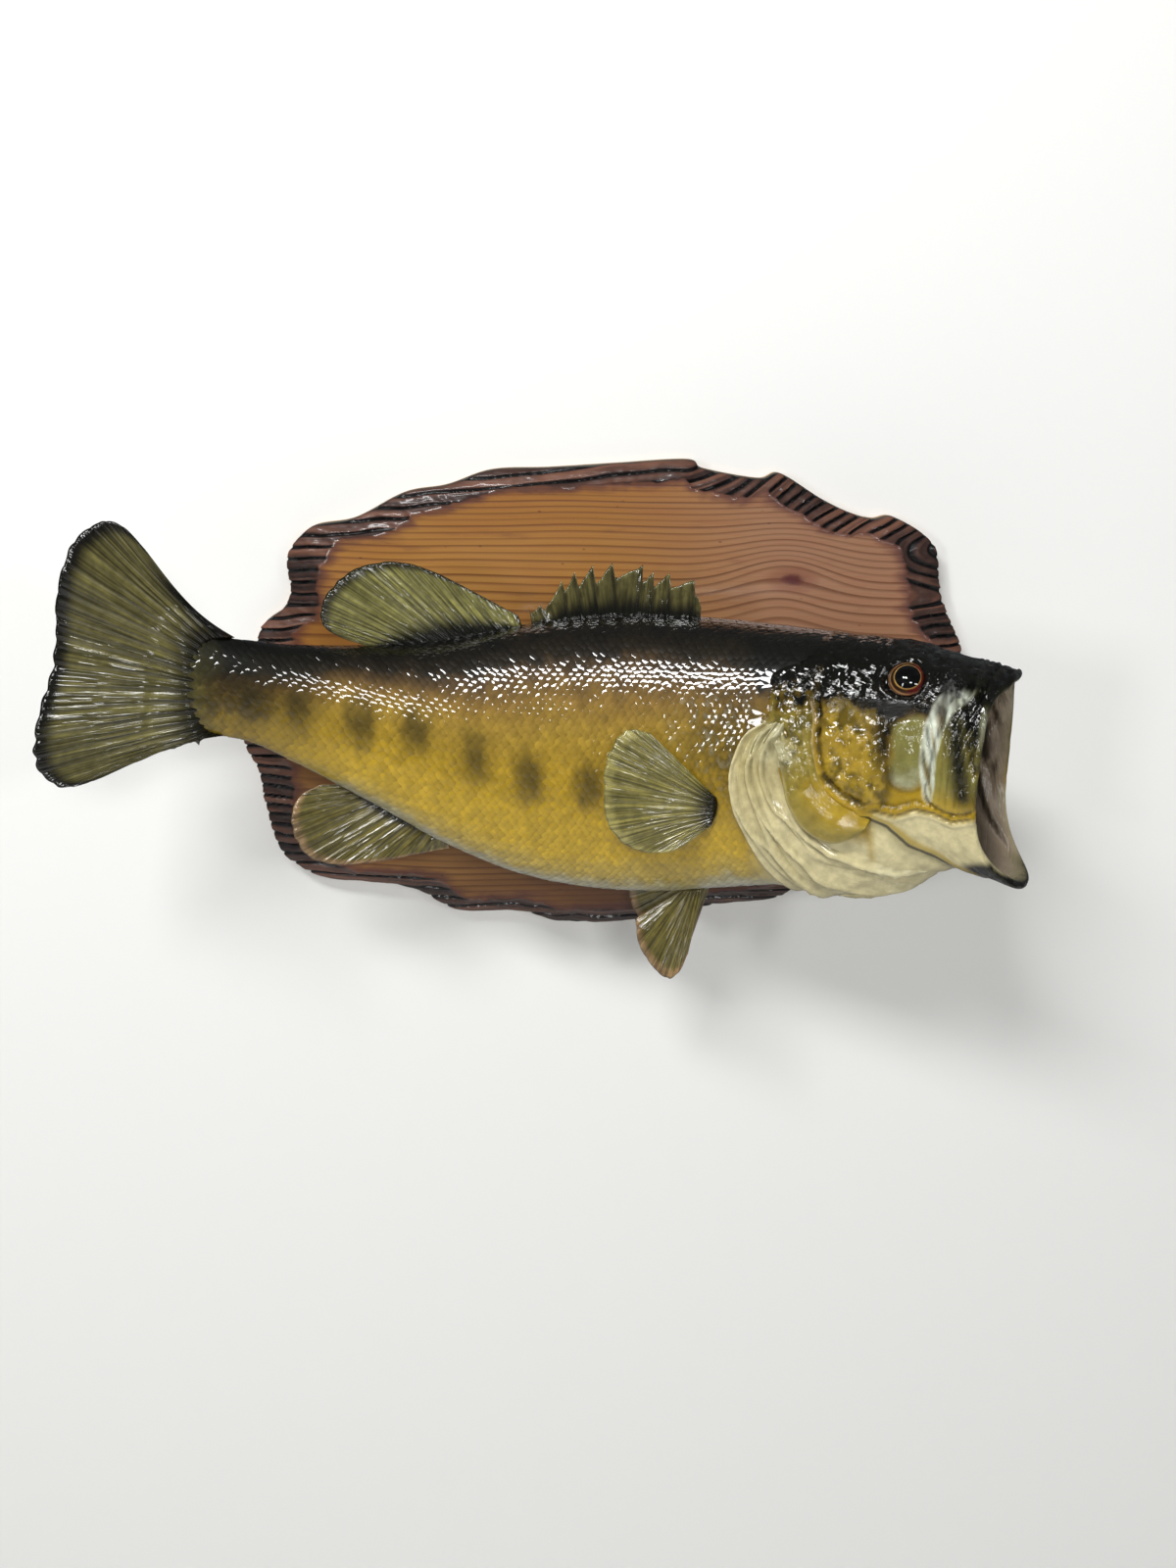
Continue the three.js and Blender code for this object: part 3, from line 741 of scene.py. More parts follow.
def skin_mesh():
    """The body, the lip and the mouth's lining as one skin, closed at the tail and throat."""
    turns = turn_rows(NEAR_TURNS, FAR_TURNS)[:, None]
    side = np.where(np.cos(turns) > 0, 1, -1)
    body = np.linspace(TAIL_END, 108, BODY_STEPS)
    head = np.linspace(110, LIP_START, HEAD_STEPS)
    outside = np.concatenate([body, head])[None, :]
    plain = skin_point(outside, turns)
    along, up = plain[..., 0], plain[..., 1]
    growth = relief(along, up, side) - SKIN_DEPTH
    outer = skin_point(outside, turns, growth)
    outer_marks = markings(along, up)
    round_lip = np.linspace(0, 1, LIP_STEPS + 1)[None, 1:-1] * math.pi
    lip = skin_point(
        LIP_START + (LIP_PLACE - LIP_START) * np.sin(round_lip), turns,
        growth[:, -1:] - 2.2 * (1 - np.cos(round_lip)),
    )
    lining, folds, deep = mouth_lining(turns)
    throat = lining[:, -1].mean(0)[None, None, :] + 0 * lining[:, -1:]
    tail = outer[:, 0].mean(0)[None, None, :] + 0 * outer[:, :1]
    points = np.concatenate([tail, outer, lip, lining[:, 1:], throat], 1)

    last = 1 + outer.shape[1]
    inner = points.shape[1] - last
    skin, mouth, lined = np.s_[:, 1:last], np.s_[:, last:], np.s_[:, -lining.shape[1]:]
    marks = {name: np.zeros(points.shape[:2]) for name in MARK_NAMES}
    for name, values in outer_marks.items():
        rest = np.repeat(values[:, -1:], inner, 1)
        marks[name] = np.concatenate([values[:, :1], values, rest], 1)
    inwards = np.arange(inner)[None, :] / LIP_STEPS
    low_lip = smooth(-48, -56, points[..., 1][mouth])
    fade = blend(smooth(0.2, 0.8, inwards), smooth(0.6, 1.3, inwards), low_lip)
    marks["black"][mouth] *= 1 - fade
    marks["flesh"][mouth] = np.maximum(0, smooth(0.2, 1.0, inwards) - marks["black"][mouth])
    marks["jaw"][:] = NO_JAW
    marks["jaw"][skin] = jaw_distance(along, up)
    marks["scaly"][skin] = np.maximum(
        smooth(-2, 3, inside(along, up, CHEEK)),
        0.45 * smooth(-1, 2, inside(along, up, SUPRAMAXILLA)))
    # painted shade deep inside the mouth
    marks["deep"][lined] = deep
    # painted shade: the groove marking darkens the skin in its creases, and the lining in the hollows
    # between its folds
    grooves = crease_depth(growth) * smooth(112, 125, outside)
    marks["groove"][skin] = grooves * (1 - 0.85 * outer_marks["cream"])
    marks["groove"][lined] = np.clip(-0.1 - 0.45 * folds, 0, 1)
    marks["creased"][skin] = 0.25 * smooth(150, 190, outside) * (1 - 0.8 * outer_marks["cream"])
    marks["creased"][mouth] = 0.5
    along, up = points[..., 0], points[..., 1]
    brow = smooth(26, 34, up) * smooth(226, 216, along)
    marks["over"] = blend(along + 0.3 * up, up + 0.15 * along, brow)
    marks["with"] = blend(up, along, brow)
    return sheet(pose(points), marks)


MARK_NAMES = (
    "rise", "blotch", "black", "gold", "olive", "pale", "cream", "flesh", "scaly", "deep",
    "groove", "creased", "with", "over", "jaw",
)
COVER_THICKNESS = 1.1
COVER_GRID = (84, 46)
MEMBRANE_THICKNESS = 1.0
MEMBRANE_GRID = (160, 62)
COVER_FRONT = [(160, 46), (158, 30), (158, 12), (160, -2), (166, -13), (176, -22), (190, -28)]
COVER_REAR = [
    (148, 47), (135, 43), (125, 36), (126, 22), (133, 11), (140, 2), (144, -10), (148, -24),
    (157, -36), (170, -41), (181, -37), (189, -30),
]
MEMBRANE_FRONT = [
    (146, 18), (146, 4), (150, -12), (158, -26), (170, -36), (186, -38), (204, -42), (218, -52),
]
MEMBRANE_REAR = [
    (131, 15), (121, 7), (116, -3), (115, -14), (118, -27), (123, -42), (130, -58), (139, -74),
    (151, -90), (176, -99.5), (200, -94), (216, -80), (223, -62),
]


def flap_spots(front, rear, grid, fineness):
    """Spots of a gill flap: v runs along its lines, and w from the front line to the rear."""
    v = np.linspace(0, 1, int(grid[0] * fineness))[:, None]
    w = np.linspace(0, 1, int(grid[1] * fineness))[None, :]
    start = curve(front, v[:, 0])[:, None, :]
    end = curve(rear, v[:, 0])[:, None, :]
    spot = blend(start, end, w[..., None])
    return v, w, spot[..., 0], spot[..., 1]


def flap(spots, lift, side, thickness, seed, marks):
    """A gill flap that stands off the head by its lift."""
    v, w, along, up = spots
    middle = skin_point(along, turn_at(along, up), lift)
    middle[..., 0] = along
    middle[..., 2] *= side
    plain = dict.fromkeys(MARK_NAMES, 0.0)
    plain["jaw"] = NO_JAW
    plain["with"] = v * 110
    plain["over"] = w * 46 + 5 * waves(v * 3, w * 2, seed)
    return leaf(middle, thickness, {**plain, **marks})


def cover_folds(v, w, along, up, seed):
    """Hollows and small folds of the gill cover, its lip and its swollen lower lobe."""
    lobe = smooth(0.55, 0.75, v)
    folds = 0.7 * rough(along / 9 + seed, up / 7.0, 41, 2) * smooth(0.1, 0.4, w) * (1 - 0.5 * lobe)
    folds *= smooth(1.0, 0.8, w)
    notch = bump(np.hypot(along - 140, (up - 11) * 1.3), 0, 9)
    creases = 1.5 * folded(waves(along / 3.6 + up / 9, up / 12, 46)) * notch
    top = smooth(0.4, 0.2, v)
    ridges = 0.35 * folded(waves(along / 14 + seed, up / 5 + 0.12 * along, 49)) * top
    ridges *= smooth(1.0, 0.75, w)
    lip = 1.3 * bump(w, 0.14, 0.13) * smooth(0.06, 0.2, v) * smooth(0.75, 0.6, v)
    lip *= (1 + 0.5 * waves(v * 16, 0.5, 52))
    return folds + ridges + lip + 1.4 * lobe * bump(w, 0.6, 0.5) - 2.4 * notch + creases


def membrane_folds(v, w, seed):
    """Curved ribs that run along with the membrane's free edge, and creases between them."""
    wander = 0.6 * rough(v * 3.4, w * 2.4 + seed, 42)
    ribs = 1 - 2 * np.abs(np.sin((w * 3.4 + wander) * math.pi)) ** 0.6
    flow = w * 8.5 + 2.4 * waves(v * 3.2, w * 2.6, 43)
    creases = folded(waves(flow, v * 3.6 + seed, 44), 2.6)
    fine = folded(waves(w * 19 + 3 * waves(v * 4, w * 4, 47), v * 7 + seed, 48), 2.4)
    fade = smooth(0.03, 0.25, w)
    wave = 1.8 * np.sin(v * 9 + w * 2) * smooth(0.5, 1.0, w)
    return fade * (1.9 * ribs + 0.9 * creases + 0.12 * fine) + 0.5 * wave


def gill_cover(side, seed, fineness):
    """The bony cover behind the cheek: black above, speckled gold below."""
    spots = flap_spots(COVER_FRONT, COVER_REAR, COVER_GRID, fineness)
    v, w, along, up = spots
    folds = cover_folds(v, w, along, up, seed)
    proud = blend(1.2, 6.5, smooth(0.2, 0.6, v)) - 1.3
    sunk = 2.6 * smooth(0.4, 0.24, v) * smooth(0.55, 1.0, w)
    lift = blend(-1.0, proud, smooth(0, 0.45, w)) + folds - sunk
    speckle = rough(along / 2.6, up / 2.6, 45)
    patches = rough(along / 6, up / 6, 50)
    lower = smooth(0.5, 0.66, v + 0.05 * patches)
    upper = 1 - smooth(0.12, 0.34, v + 0.09 * patches)
    middle = (1 - lower) * (1 - upper)
    dark_spots = 0.55 * (1 - lower) * smooth(0.0, 0.8, patches + 0.5 * speckle)
    return flap(spots, lift, side, COVER_THICKNESS, seed, {
        "black": np.clip(upper * (0.96 - 0.3 * speckle) + dark_spots, 0, 1),
        "cream": 0.35 * smooth(0.86, 1.0, w) * (1 - upper),
        "gold": np.clip(0.9 * lower + 0.55 * middle, 0, 1),
        "olive": np.clip(0.5 * smooth(0.2, 0.8, w) * lower + 0.6 * middle, 0, 1),
        # pale: a painted highlight across the middle of the cover
        "pale": 0.25 * bump(v, 0.42, 0.16) * smooth(0.3, 0.8, w),
        "scaly": (1 - lower) * smooth(0.0, 0.2, w),
        # groove: painted shade in the hollows between the cover's folds
        "rise": 0.55, "creased": 0.14, "groove": crease_depth(folds),
    })


def gill_membrane(side, seed, fineness):
    """The wrinkled cream skin that flares out under the gill cover."""
    spots = flap_spots(MEMBRANE_FRONT, MEMBRANE_REAR, MEMBRANE_GRID, fineness)
    v, w, along, _up = spots
    folds = membrane_folds(v, w, seed)
    proud = 1.7 + 7 * (1 - smooth(108, 150, along))
    lift = blend(-1.0, proud, smooth(0, 0.45, w)) + folds
    top = 1 - smooth(0.0, 0.35, v)
    top_cream = 0.45 * (1 - smooth(0.1, 0.5, v)) * (1 - smooth(0.8, 1.0, w))
    return flap(spots, lift, side, MEMBRANE_THICKNESS, seed, {
        "cream": (1.0 - 0.2 * smooth(0.75, 1.0, v)) * (1 - top_cream),
        "pale": (0.35 * top + 0.3 * smooth(0.7, 0.9, v)) * (1 - w),
        "gold": 0.55 * top * smooth(0.05, 0.4, w) * (1 - smooth(0.7, 1.0, w)),
        "olive": 0.7 * (1 - smooth(0.1, 0.55, v)) * (1 - smooth(0.75, 1.05, w)),
        # deep: painted shade at the membrane's root, where it tucks under the cover
        "deep": 0.3 * (1 - smooth(0.0, 0.25, w)),
        # groove: painted shade in the hollows between the membrane's folds
        "rise": 0.5, "creased": 0.16, "groove": 0.45 * crease_depth(folds),
    })


# ---- scales

SCALE_PITCH = 4.9
SCALE_ROW = 3.3
SCALE_LENGTH = 7.6
SCALE_WIDTH = 7.0
SCALE_LIFT = 0.75
SCALE_ROWS, SCALE_COLUMNS = 7, 6
BAKE_PATCH = 0.003
FLANK_STEP = 2.0
FLANK_LENGTH = 424.0
FLANK_HEIGHT = 240.0
FLANK_REAR = -218.0
FLANK_LOWEST = -130.0


class Flank:
    """The right flank unrolled: place along, and distance round from the widest line."""

    def __init__(self):
        self.places = np.arange(FLANK_REAR, FLANK_REAR + FLANK_LENGTH, FLANK_STEP)
        self.rounds = np.arange(-180.0, 150.0, 1.0)
        turns = np.radians(np.linspace(-112, 112, 400))
        self.turns = np.zeros((len(self.places), len(self.rounds)))
        self.top = np.zeros(len(self.places))
        self.bottom = np.zeros(len(self.places))
        for number, place in enumerate(self.places):
            ring = skin_point(np.full_like(turns, place), turns)
            steps = np.linalg.norm(np.diff(ring, axis=0), axis=1)
            length = np.concatenate([[0], np.cumsum(steps)])
            length -= np.interp(0.0, turns, length)
            self.turns[number] = np.interp(self.rounds, length, turns)
            self.top[number] = np.interp(math.pi / 2, turns, length)
            self.bottom[number] = np.interp(-math.pi / 2, turns, length)

    def turn(self, along, distance):
        """The turn round the body at a place along and a distance round."""
        x = np.clip((along - FLANK_REAR) / FLANK_STEP, 0, len(self.places) - 1.001)
        y = np.clip(distance - self.rounds[0], 0, len(self.rounds) - 1.001)
        column, row = x.astype(int), y.astype(int)
        right, up = x - column, y - row
        low = blend(self.turns[column, row], self.turns[column + 1, row], right)
        high = blend(self.turns[column, row + 1], self.turns[column + 1, row + 1], right)
        return blend(low, high, up)


FLANK = Flank()


def lattice(jitter):
    """Roots of overlapping scales on a staggered grid, as places along and round."""
    alongs, rounds = [], []
    for column, along in enumerate(np.arange(-209, 156, SCALE_PITCH / 2)):
        top = np.interp(along, FLANK.places, FLANK.top)
        bottom = np.interp(along, FLANK.places, FLANK.bottom)
        rows = np.arange(math.ceil((bottom + 1) / SCALE_ROW), math.floor((top - 0.6) / SCALE_ROW) + 1)
        rows = rows[(rows + column) % 2 == 0]
        alongs.append(np.full(len(rows), along))
        rounds.append(rows * SCALE_ROW)
    along, around = np.concatenate(alongs), np.concatenate(rounds)
    kept = along < head_line(skin_point(along, FLANK.turn(along, around))[..., 1])
    along, around = along[kept], around[kept]
    along = along + jitter.normal(0, 0.03 * SCALE_PITCH, len(along))
    around = around + jitter.normal(0, 0.03 * SCALE_ROW, len(along))
    return along[:, None, None], around[:, None, None]


def scale_coat(name, side, seed, material):
    """All the scales of one side as a single mesh, every scale a small domed shield."""
    jitter = np.random.default_rng(seed)
    root, root_round = lattice(jitter)
    count = len(root)
    rows = np.linspace(0, 1, SCALE_ROWS)
    columns = np.linspace(-1, 1, SCALE_COLUMNS)
    reach, across = np.meshgrid(rows, columns, indexing="ij")
    outline = np.clip(1 - np.clip((reach - 0.35) / 0.65, 0, 1) ** 2.4, 0.0, 1) ** 0.5
    outline = np.maximum(outline, 0.12) * (0.75 + 0.25 * smooth(0, 0.35, reach))
    size = 1 + jitter.normal(0, 0.03, (count, 1, 1))
    along = root + (0.3 - reach) * SCALE_LENGTH * size
    turn = FLANK.turn(along, root_round + across * outline * SCALE_WIDTH / 2 * size)
    tilt = jitter.normal(0, 0.16, (count, 1, 1))
    lean = jitter.normal(0, 0.14, (count, 1, 1))
    height = reach ** 1.2 * (0.75 + lean) - 0.4 + tilt * across * reach
    height = height + 0.4 * (1 - across ** 2) * np.sin(math.pi * reach)
    plain = skin_point(along, turn)
    height = SCALE_LIFT * height * (1 - 0.75 * smooth(-10, 0, along - head_line(plain[..., 1])))
    points = skin_point(along, turn, height)
    points[..., 2] *= side
    marks = markings(points[..., 0], points[..., 1])
    marks["tip"] = reach
    marks["tone"] = jitter.random((count, 1, 1))

    index = np.arange(reach.size).reshape(reach.shape)
    quad = np.stack([index[:-1, :-1], index[:-1, 1:], index[1:, 1:], index[1:, :-1]], -1)
    if side < 0:
        quad = quad[..., ::-1]
    faces = (quad.reshape(-1, 4) + np.arange(count)[:, None, None] * reach.size).reshape(-1, 4)
    mesh = bpy.data.meshes.new(name)
    mesh.from_pydata(pose(points).reshape(-1, 3).tolist(), [], faces.tolist())
    for key, values in marks.items():
        add_mark(mesh, key, np.broadcast_to(values, along.shape))
    u = 0.03 + 0.94 * (root - FLANK_REAR) / FLANK_LENGTH + (reach - 0.5) * BAKE_PATCH
    v = 0.03 + 0.94 * (root_round - FLANK_LOWEST) / FLANK_HEIGHT + across * BAKE_PATCH / 2
    spots = np.stack([u, v], -1).reshape(-1, 2)
    layer = mesh.uv_layers.new(name="OFBake")
    layer.data.foreach_set("uv", spots[faces.reshape(-1)].astype(np.float32).reshape(-1))
    finish_piece(mesh, material)


# ---- fins

RAY_STEPS = 12
ROOT_DEPTH = 2.5
RAY_THINNEST = 0.5


def fin(name, root, tip, rays, material, thickness=2.4, side=1, notch=0.008, spiny=False,
        out=36, wave=1.0, seed=0, base=0.0, lead=0.0, dark_base=0.2, hollow=0.0):
    """A fin: a thin leaf with a ridge along each ray, branching towards its margin."""
    v = np.linspace(0, 1, (rays - 1) * RAY_STEPS + 1)[:, None]
    w = np.linspace(0, 1, out)[None, :] ** 0.9
    start = curve(root, v[:, 0])[:, None, :]
    end = curve(tip, v[:, 0])[:, None, :]
    count = v * (rays - 1)
    to_ray = np.abs(count - np.round(count)) * 2
    if spiny:
        # each web hangs from its spine's tip down to the middle of the spine behind
        behind = count - np.floor(count + 1e-6)
        torn = 0.55 + 0.45 * chance(np.floor(count + 1e-6), 2.0, seed)
        edge = 1 - notch * torn * (1 - behind) ** 0.9 * smooth(0.0, 0.1, behind)
        edge = edge - 0.02 * waves(count * 5, 0.5, seed + 1) * (to_ray > 0.2)
    else:
        edge = 1 - notch * to_ray ** 2 - 0.010 * (1 + waves(count * 2.3, 0.3, seed + 3))
    middle = blend(start, end, (w * edge)[..., None])
    bent = np.sin(math.pi * w) * hollow
    middle[..., 1] += bent * (0.6 * smooth(0.8, 1.0, v) - smooth(0.25, 0.0, v))
    ripple = 0.9 * np.sin(count * 1.15 + seed) + 0.6 * waves(v * 5, w * 2, seed)
    middle[..., 2] += wave * ripple * smooth(0.2, 1.0, w)
    middle[..., 2] *= side
    main = bump(to_ray, 0, 0.6)
    if spiny:
        strength = main ** 1.2
    else:
        split = smooth(0.25, 0.5, w)
        twins = bump(np.abs(to_ray - 0.36), 0, 0.3)
        fours = np.maximum(bump(np.abs(to_ray - 0.16), 0, 0.17), bump(np.abs(to_ray - 0.58), 0, 0.22))
        late = smooth(0.55, 0.75, w)
        strength = blend(main, blend(twins, fours, late), split)
    taper = blend(1.0, 0.42, w)
    thick = RAY_THINNEST + (thickness - RAY_THINNEST) * strength * taper
    thick = thick + base * (1 - smooth(0.06, 0.4, w))
    margin = np.maximum(smooth(0.8, 1.0, w), 0.9 * smooth(0.03, 0.0, np.minimum(v, 1 - v)))
    dark = (0.78 if base > 0.5 else 1.0) * smooth(dark_base, 0.0, w)
    if lead:
        front_edge = smooth(lead, 0.25 * lead, v + 0.05 * w) * smooth(1.0, 0.4, w)
        dark = np.maximum(dark, front_edge)
    marks = {"ray": strength, "reach": w, "across": v * rays, "edge": margin, "dark": dark}
    piece(name + "_leaf", [leaf(middle, thick, marks)], material, (name,))


def back_at(along):
    """A fin's root sunk in the back."""
    return (along, float(section(np.array(float(along)))[0]) - ROOT_DEPTH, 0)


def belly_at(along):
    """A fin's root sunk in the belly."""
    return (along, float(section(np.array(float(along)))[1]) + ROOT_DEPTH, 0)


SPINES = [
    (-19, -21, 62), (-10, -15, 64), (1, -3, 78), (10, 4, 83), (18, 14, 87), (28, 25, 88.5),
    (39, 42, 88), (47, 48, 84.5), (57, 57, 84), (71, 71, 81), (75, 75.5, 66),
]


def make_fins(looks):
    """All eight fins, each from its root line to its tip line as (along, up, out)."""
    fin("caudal_fin",
        [(-182, 50, 0), (-198, 46, 0), (-201, 26, 0), (-199, 4, 0), (-188, -3, 0)],
        [(-226, 99, 2), (-236, 111, 3), (-246, 114, 4), (-257, 108, 4), (-266, 94, 4),
         (-271, 76, 2), (-272, 60, 1), (-275, 42, 0), (-281, 25, 0), (-287, 8, 2), (-288, -6, 4),
         (-284, -16, 4), (-275, -21.5, 4), (-262, -20, 3), (-248, -15, 2)],
        20, looks["tail"], 3.4, out=52, wave=1.2, seed=1, base=8.5, lead=0.24, dark_base=0.42, hollow=6.0)
    fin("soft_dorsal_fin",
        [back_at(-105), back_at(-80), back_at(-53), back_at(-24)],
        [(-125, 47, 0), (-134, 53, 2), (-137, 61, 3), (-134, 71, 3), (-126, 80, 3), (-112, 87, 2),
         (-94, 88.5, 1), (-74, 83, 0), (-51, 71, 0), (-27, 58, 0)],
        15, looks["soft back"], 3.0, seed=2, dark_base=0.5)
    fin("spiny_dorsal_fin",
        [back_at(root) for root, _tip, _top in SPINES],
        [(tip, top, 0) for _root, tip, top in SPINES],
        11, looks["spiny back"], 2.8, notch=0.42, spiny=True, seed=3, wave=0.7, dark_base=0.8)
    fin("anal_fin",
        [belly_at(-125), belly_at(-107), belly_at(-88), belly_at(-68)],
        [(-139, -36, 0), (-152, -42, 1), (-157, -54, 2), (-154, -69, 3), (-146, -79, 3),
         (-131, -84, 2), (-110, -84, 1), (-88, -82, 0), (-66, -79, 0)],
        13, looks["belly"], 2.6, seed=4, dark_base=0.25)
    fin("pectoral_fin_right",
        [(104, -27, 48.5), (105, -31, 48.5), (104, -37, 48.5), (101, -43, 48)],
        [(58, 8, 58), (44, 10, 62), (34, 3, 66), (29, -10, 69), (28, -27, 69), (33, -43, 67),
         (44, -54, 63), (58, -59, 60), (76, -58, 57), (90, -51, 53)],
        15, looks["side"], 2.2, seed=5, wave=0.8, base=1.0, dark_base=0.36)
    fin("pectoral_fin_left",
        [(100, -34, 48.5), (101, -40, 48), (101, -46, 47.2)],
        [(62, -70, 40), (60, -80, 38), (62, -90, 36), (68, -97, 34), (76, -98, 33),
         (85, -94, 33)],
        12, looks["side"], 2.0, side=-1, seed=6, wave=0.4, out=28, dark_base=0.32)
    pelvic_root = [(87, -92.5, 12), (81, -94, 12), (75, -96, 11)]
    fin("pelvic_fin_right", pelvic_root,
        [(81, -132, 20), (77, -142, 22), (70, -148, 24), (62, -144, 25), (54, -134, 26),
         (49, -124, 26), (47, -112, 24)],
        8, looks["belly"], 2.0, seed=7, base=1.2, dark_base=0.05)
    fin("pelvic_fin_left", pelvic_root,
        [(74, -140, 17), (63, -147, 18), (53, -143, 20), (43, -131, 22), (37, -118, 23),
         (38, -107, 22)],
        8, looks["belly"], 2.0, side=-1, seed=8, base=1.2, out=28, dark_base=0.05)


# ---- eyes

def eye_frame(side):
    """Centre of the eyeball, the way it looks, and two directions across."""
    spot = skin_point(EYE_ALONG, EYE_TURN)
    slope = skin_point(EYE_ALONG, EYE_TURN + 0.1) - skin_point(EYE_ALONG, EYE_TURN - 0.1)
    slope /= np.linalg.norm(slope)
    inward = np.array([0.0, -slope[2], slope[1]])
    inward *= -np.sign(inward[2])
    centre = spot + inward * EYE_SUNK
    look = -inward + np.array([0.12, 0.0, 0.0])
    look /= np.linalg.norm(look)
    ahead = np.array([1.0, 0, 0]) - look * look[0]
    ahead /= np.linalg.norm(ahead)
    across = np.cross(look, ahead)
    flip = np.array([1, 1, side])
    return centre * flip, look * flip, ahead * flip, across * flip


def make_eye(name, side, iris, glass):
    """A painted ball with a clear dome over it."""
    centre, look, ahead, across = eye_frame(side)
    turns = np.linspace(0, 2 * math.pi, EYE_TURNS)[:, None]
    angle = np.linspace(0, math.pi, EYE_RINGS)[None, :]

    def ball(radius, bulge, marks):
        spots = centre + ahead * (radius * np.sin(angle) * np.cos(turns))[..., None]
        spots = spots + across * (radius * np.sin(angle) * np.sin(turns))[..., None]
        spots = spots + look * (radius * np.cos(angle) * bulge)[..., None]
        return sheet(pose(spots), marks)

    inner = EYE_RADIUS - GLASS_DEPTH
    seen = np.where(angle < math.pi / 2, np.minimum(inner * np.sin(angle) / EYE_SHOWN, 1.2), 1.2)
    painted_ball = ball(inner, 1.0, {"ring": seen, "ahead": np.cos(turns)})
    piece(name + "_ball", [painted_ball], iris, (name,))
    dome = ball(EYE_RADIUS, 1 + GLASS_BULGE * bump(angle, 0, 0.7), {})
    piece(name + "_glass", [dome], glass)


# ---- board

BOARD_CORNERS = [
    (-217, 2), (-208, 38), (-194, 51), (-189, 63), (-190, 82), (-176, 99), (-150, 105),
    (-121, 120), (-96, 125), (-70, 134), (-36, 136), (2, 139), (44, 142), (54, 137),
    (86, 132), (99, 135), (124, 121), (142, 113), (155, 110), (168, 111), (192, 96),
    (198, 70), (203, 57), (214, 34), (218, 4), (210, -34), (204, -62), (203, -86),
    (190, -104), (160, -109), (134, -113), (113, -128), (84, -132), (56, -137),
    (20, -145), (-24, -147), (-52, -140), (-92, -139), (-118, -126), (-150, -121),
    (-177, -118), (-200, -103), (-208, -80), (-213, -50), (-221, -30),
]
BOARD_EDGE = 12.0
RIM_SIDE = 21.0
RIM_TOP = 11.0
HALF_LENGTH = 215.0
HALF_HEIGHT = 143.0
POCKET_WIDTH = 70.0
POCKET_HEIGHT = 18.0
POCKET_DEPTH = 3.5
POCKET_MIDDLE = 95.0
RIM_STEPS = 1400
EDGE_STEPS = 8
SLOPE_STEPS = 23
FACE_STEPS = 6


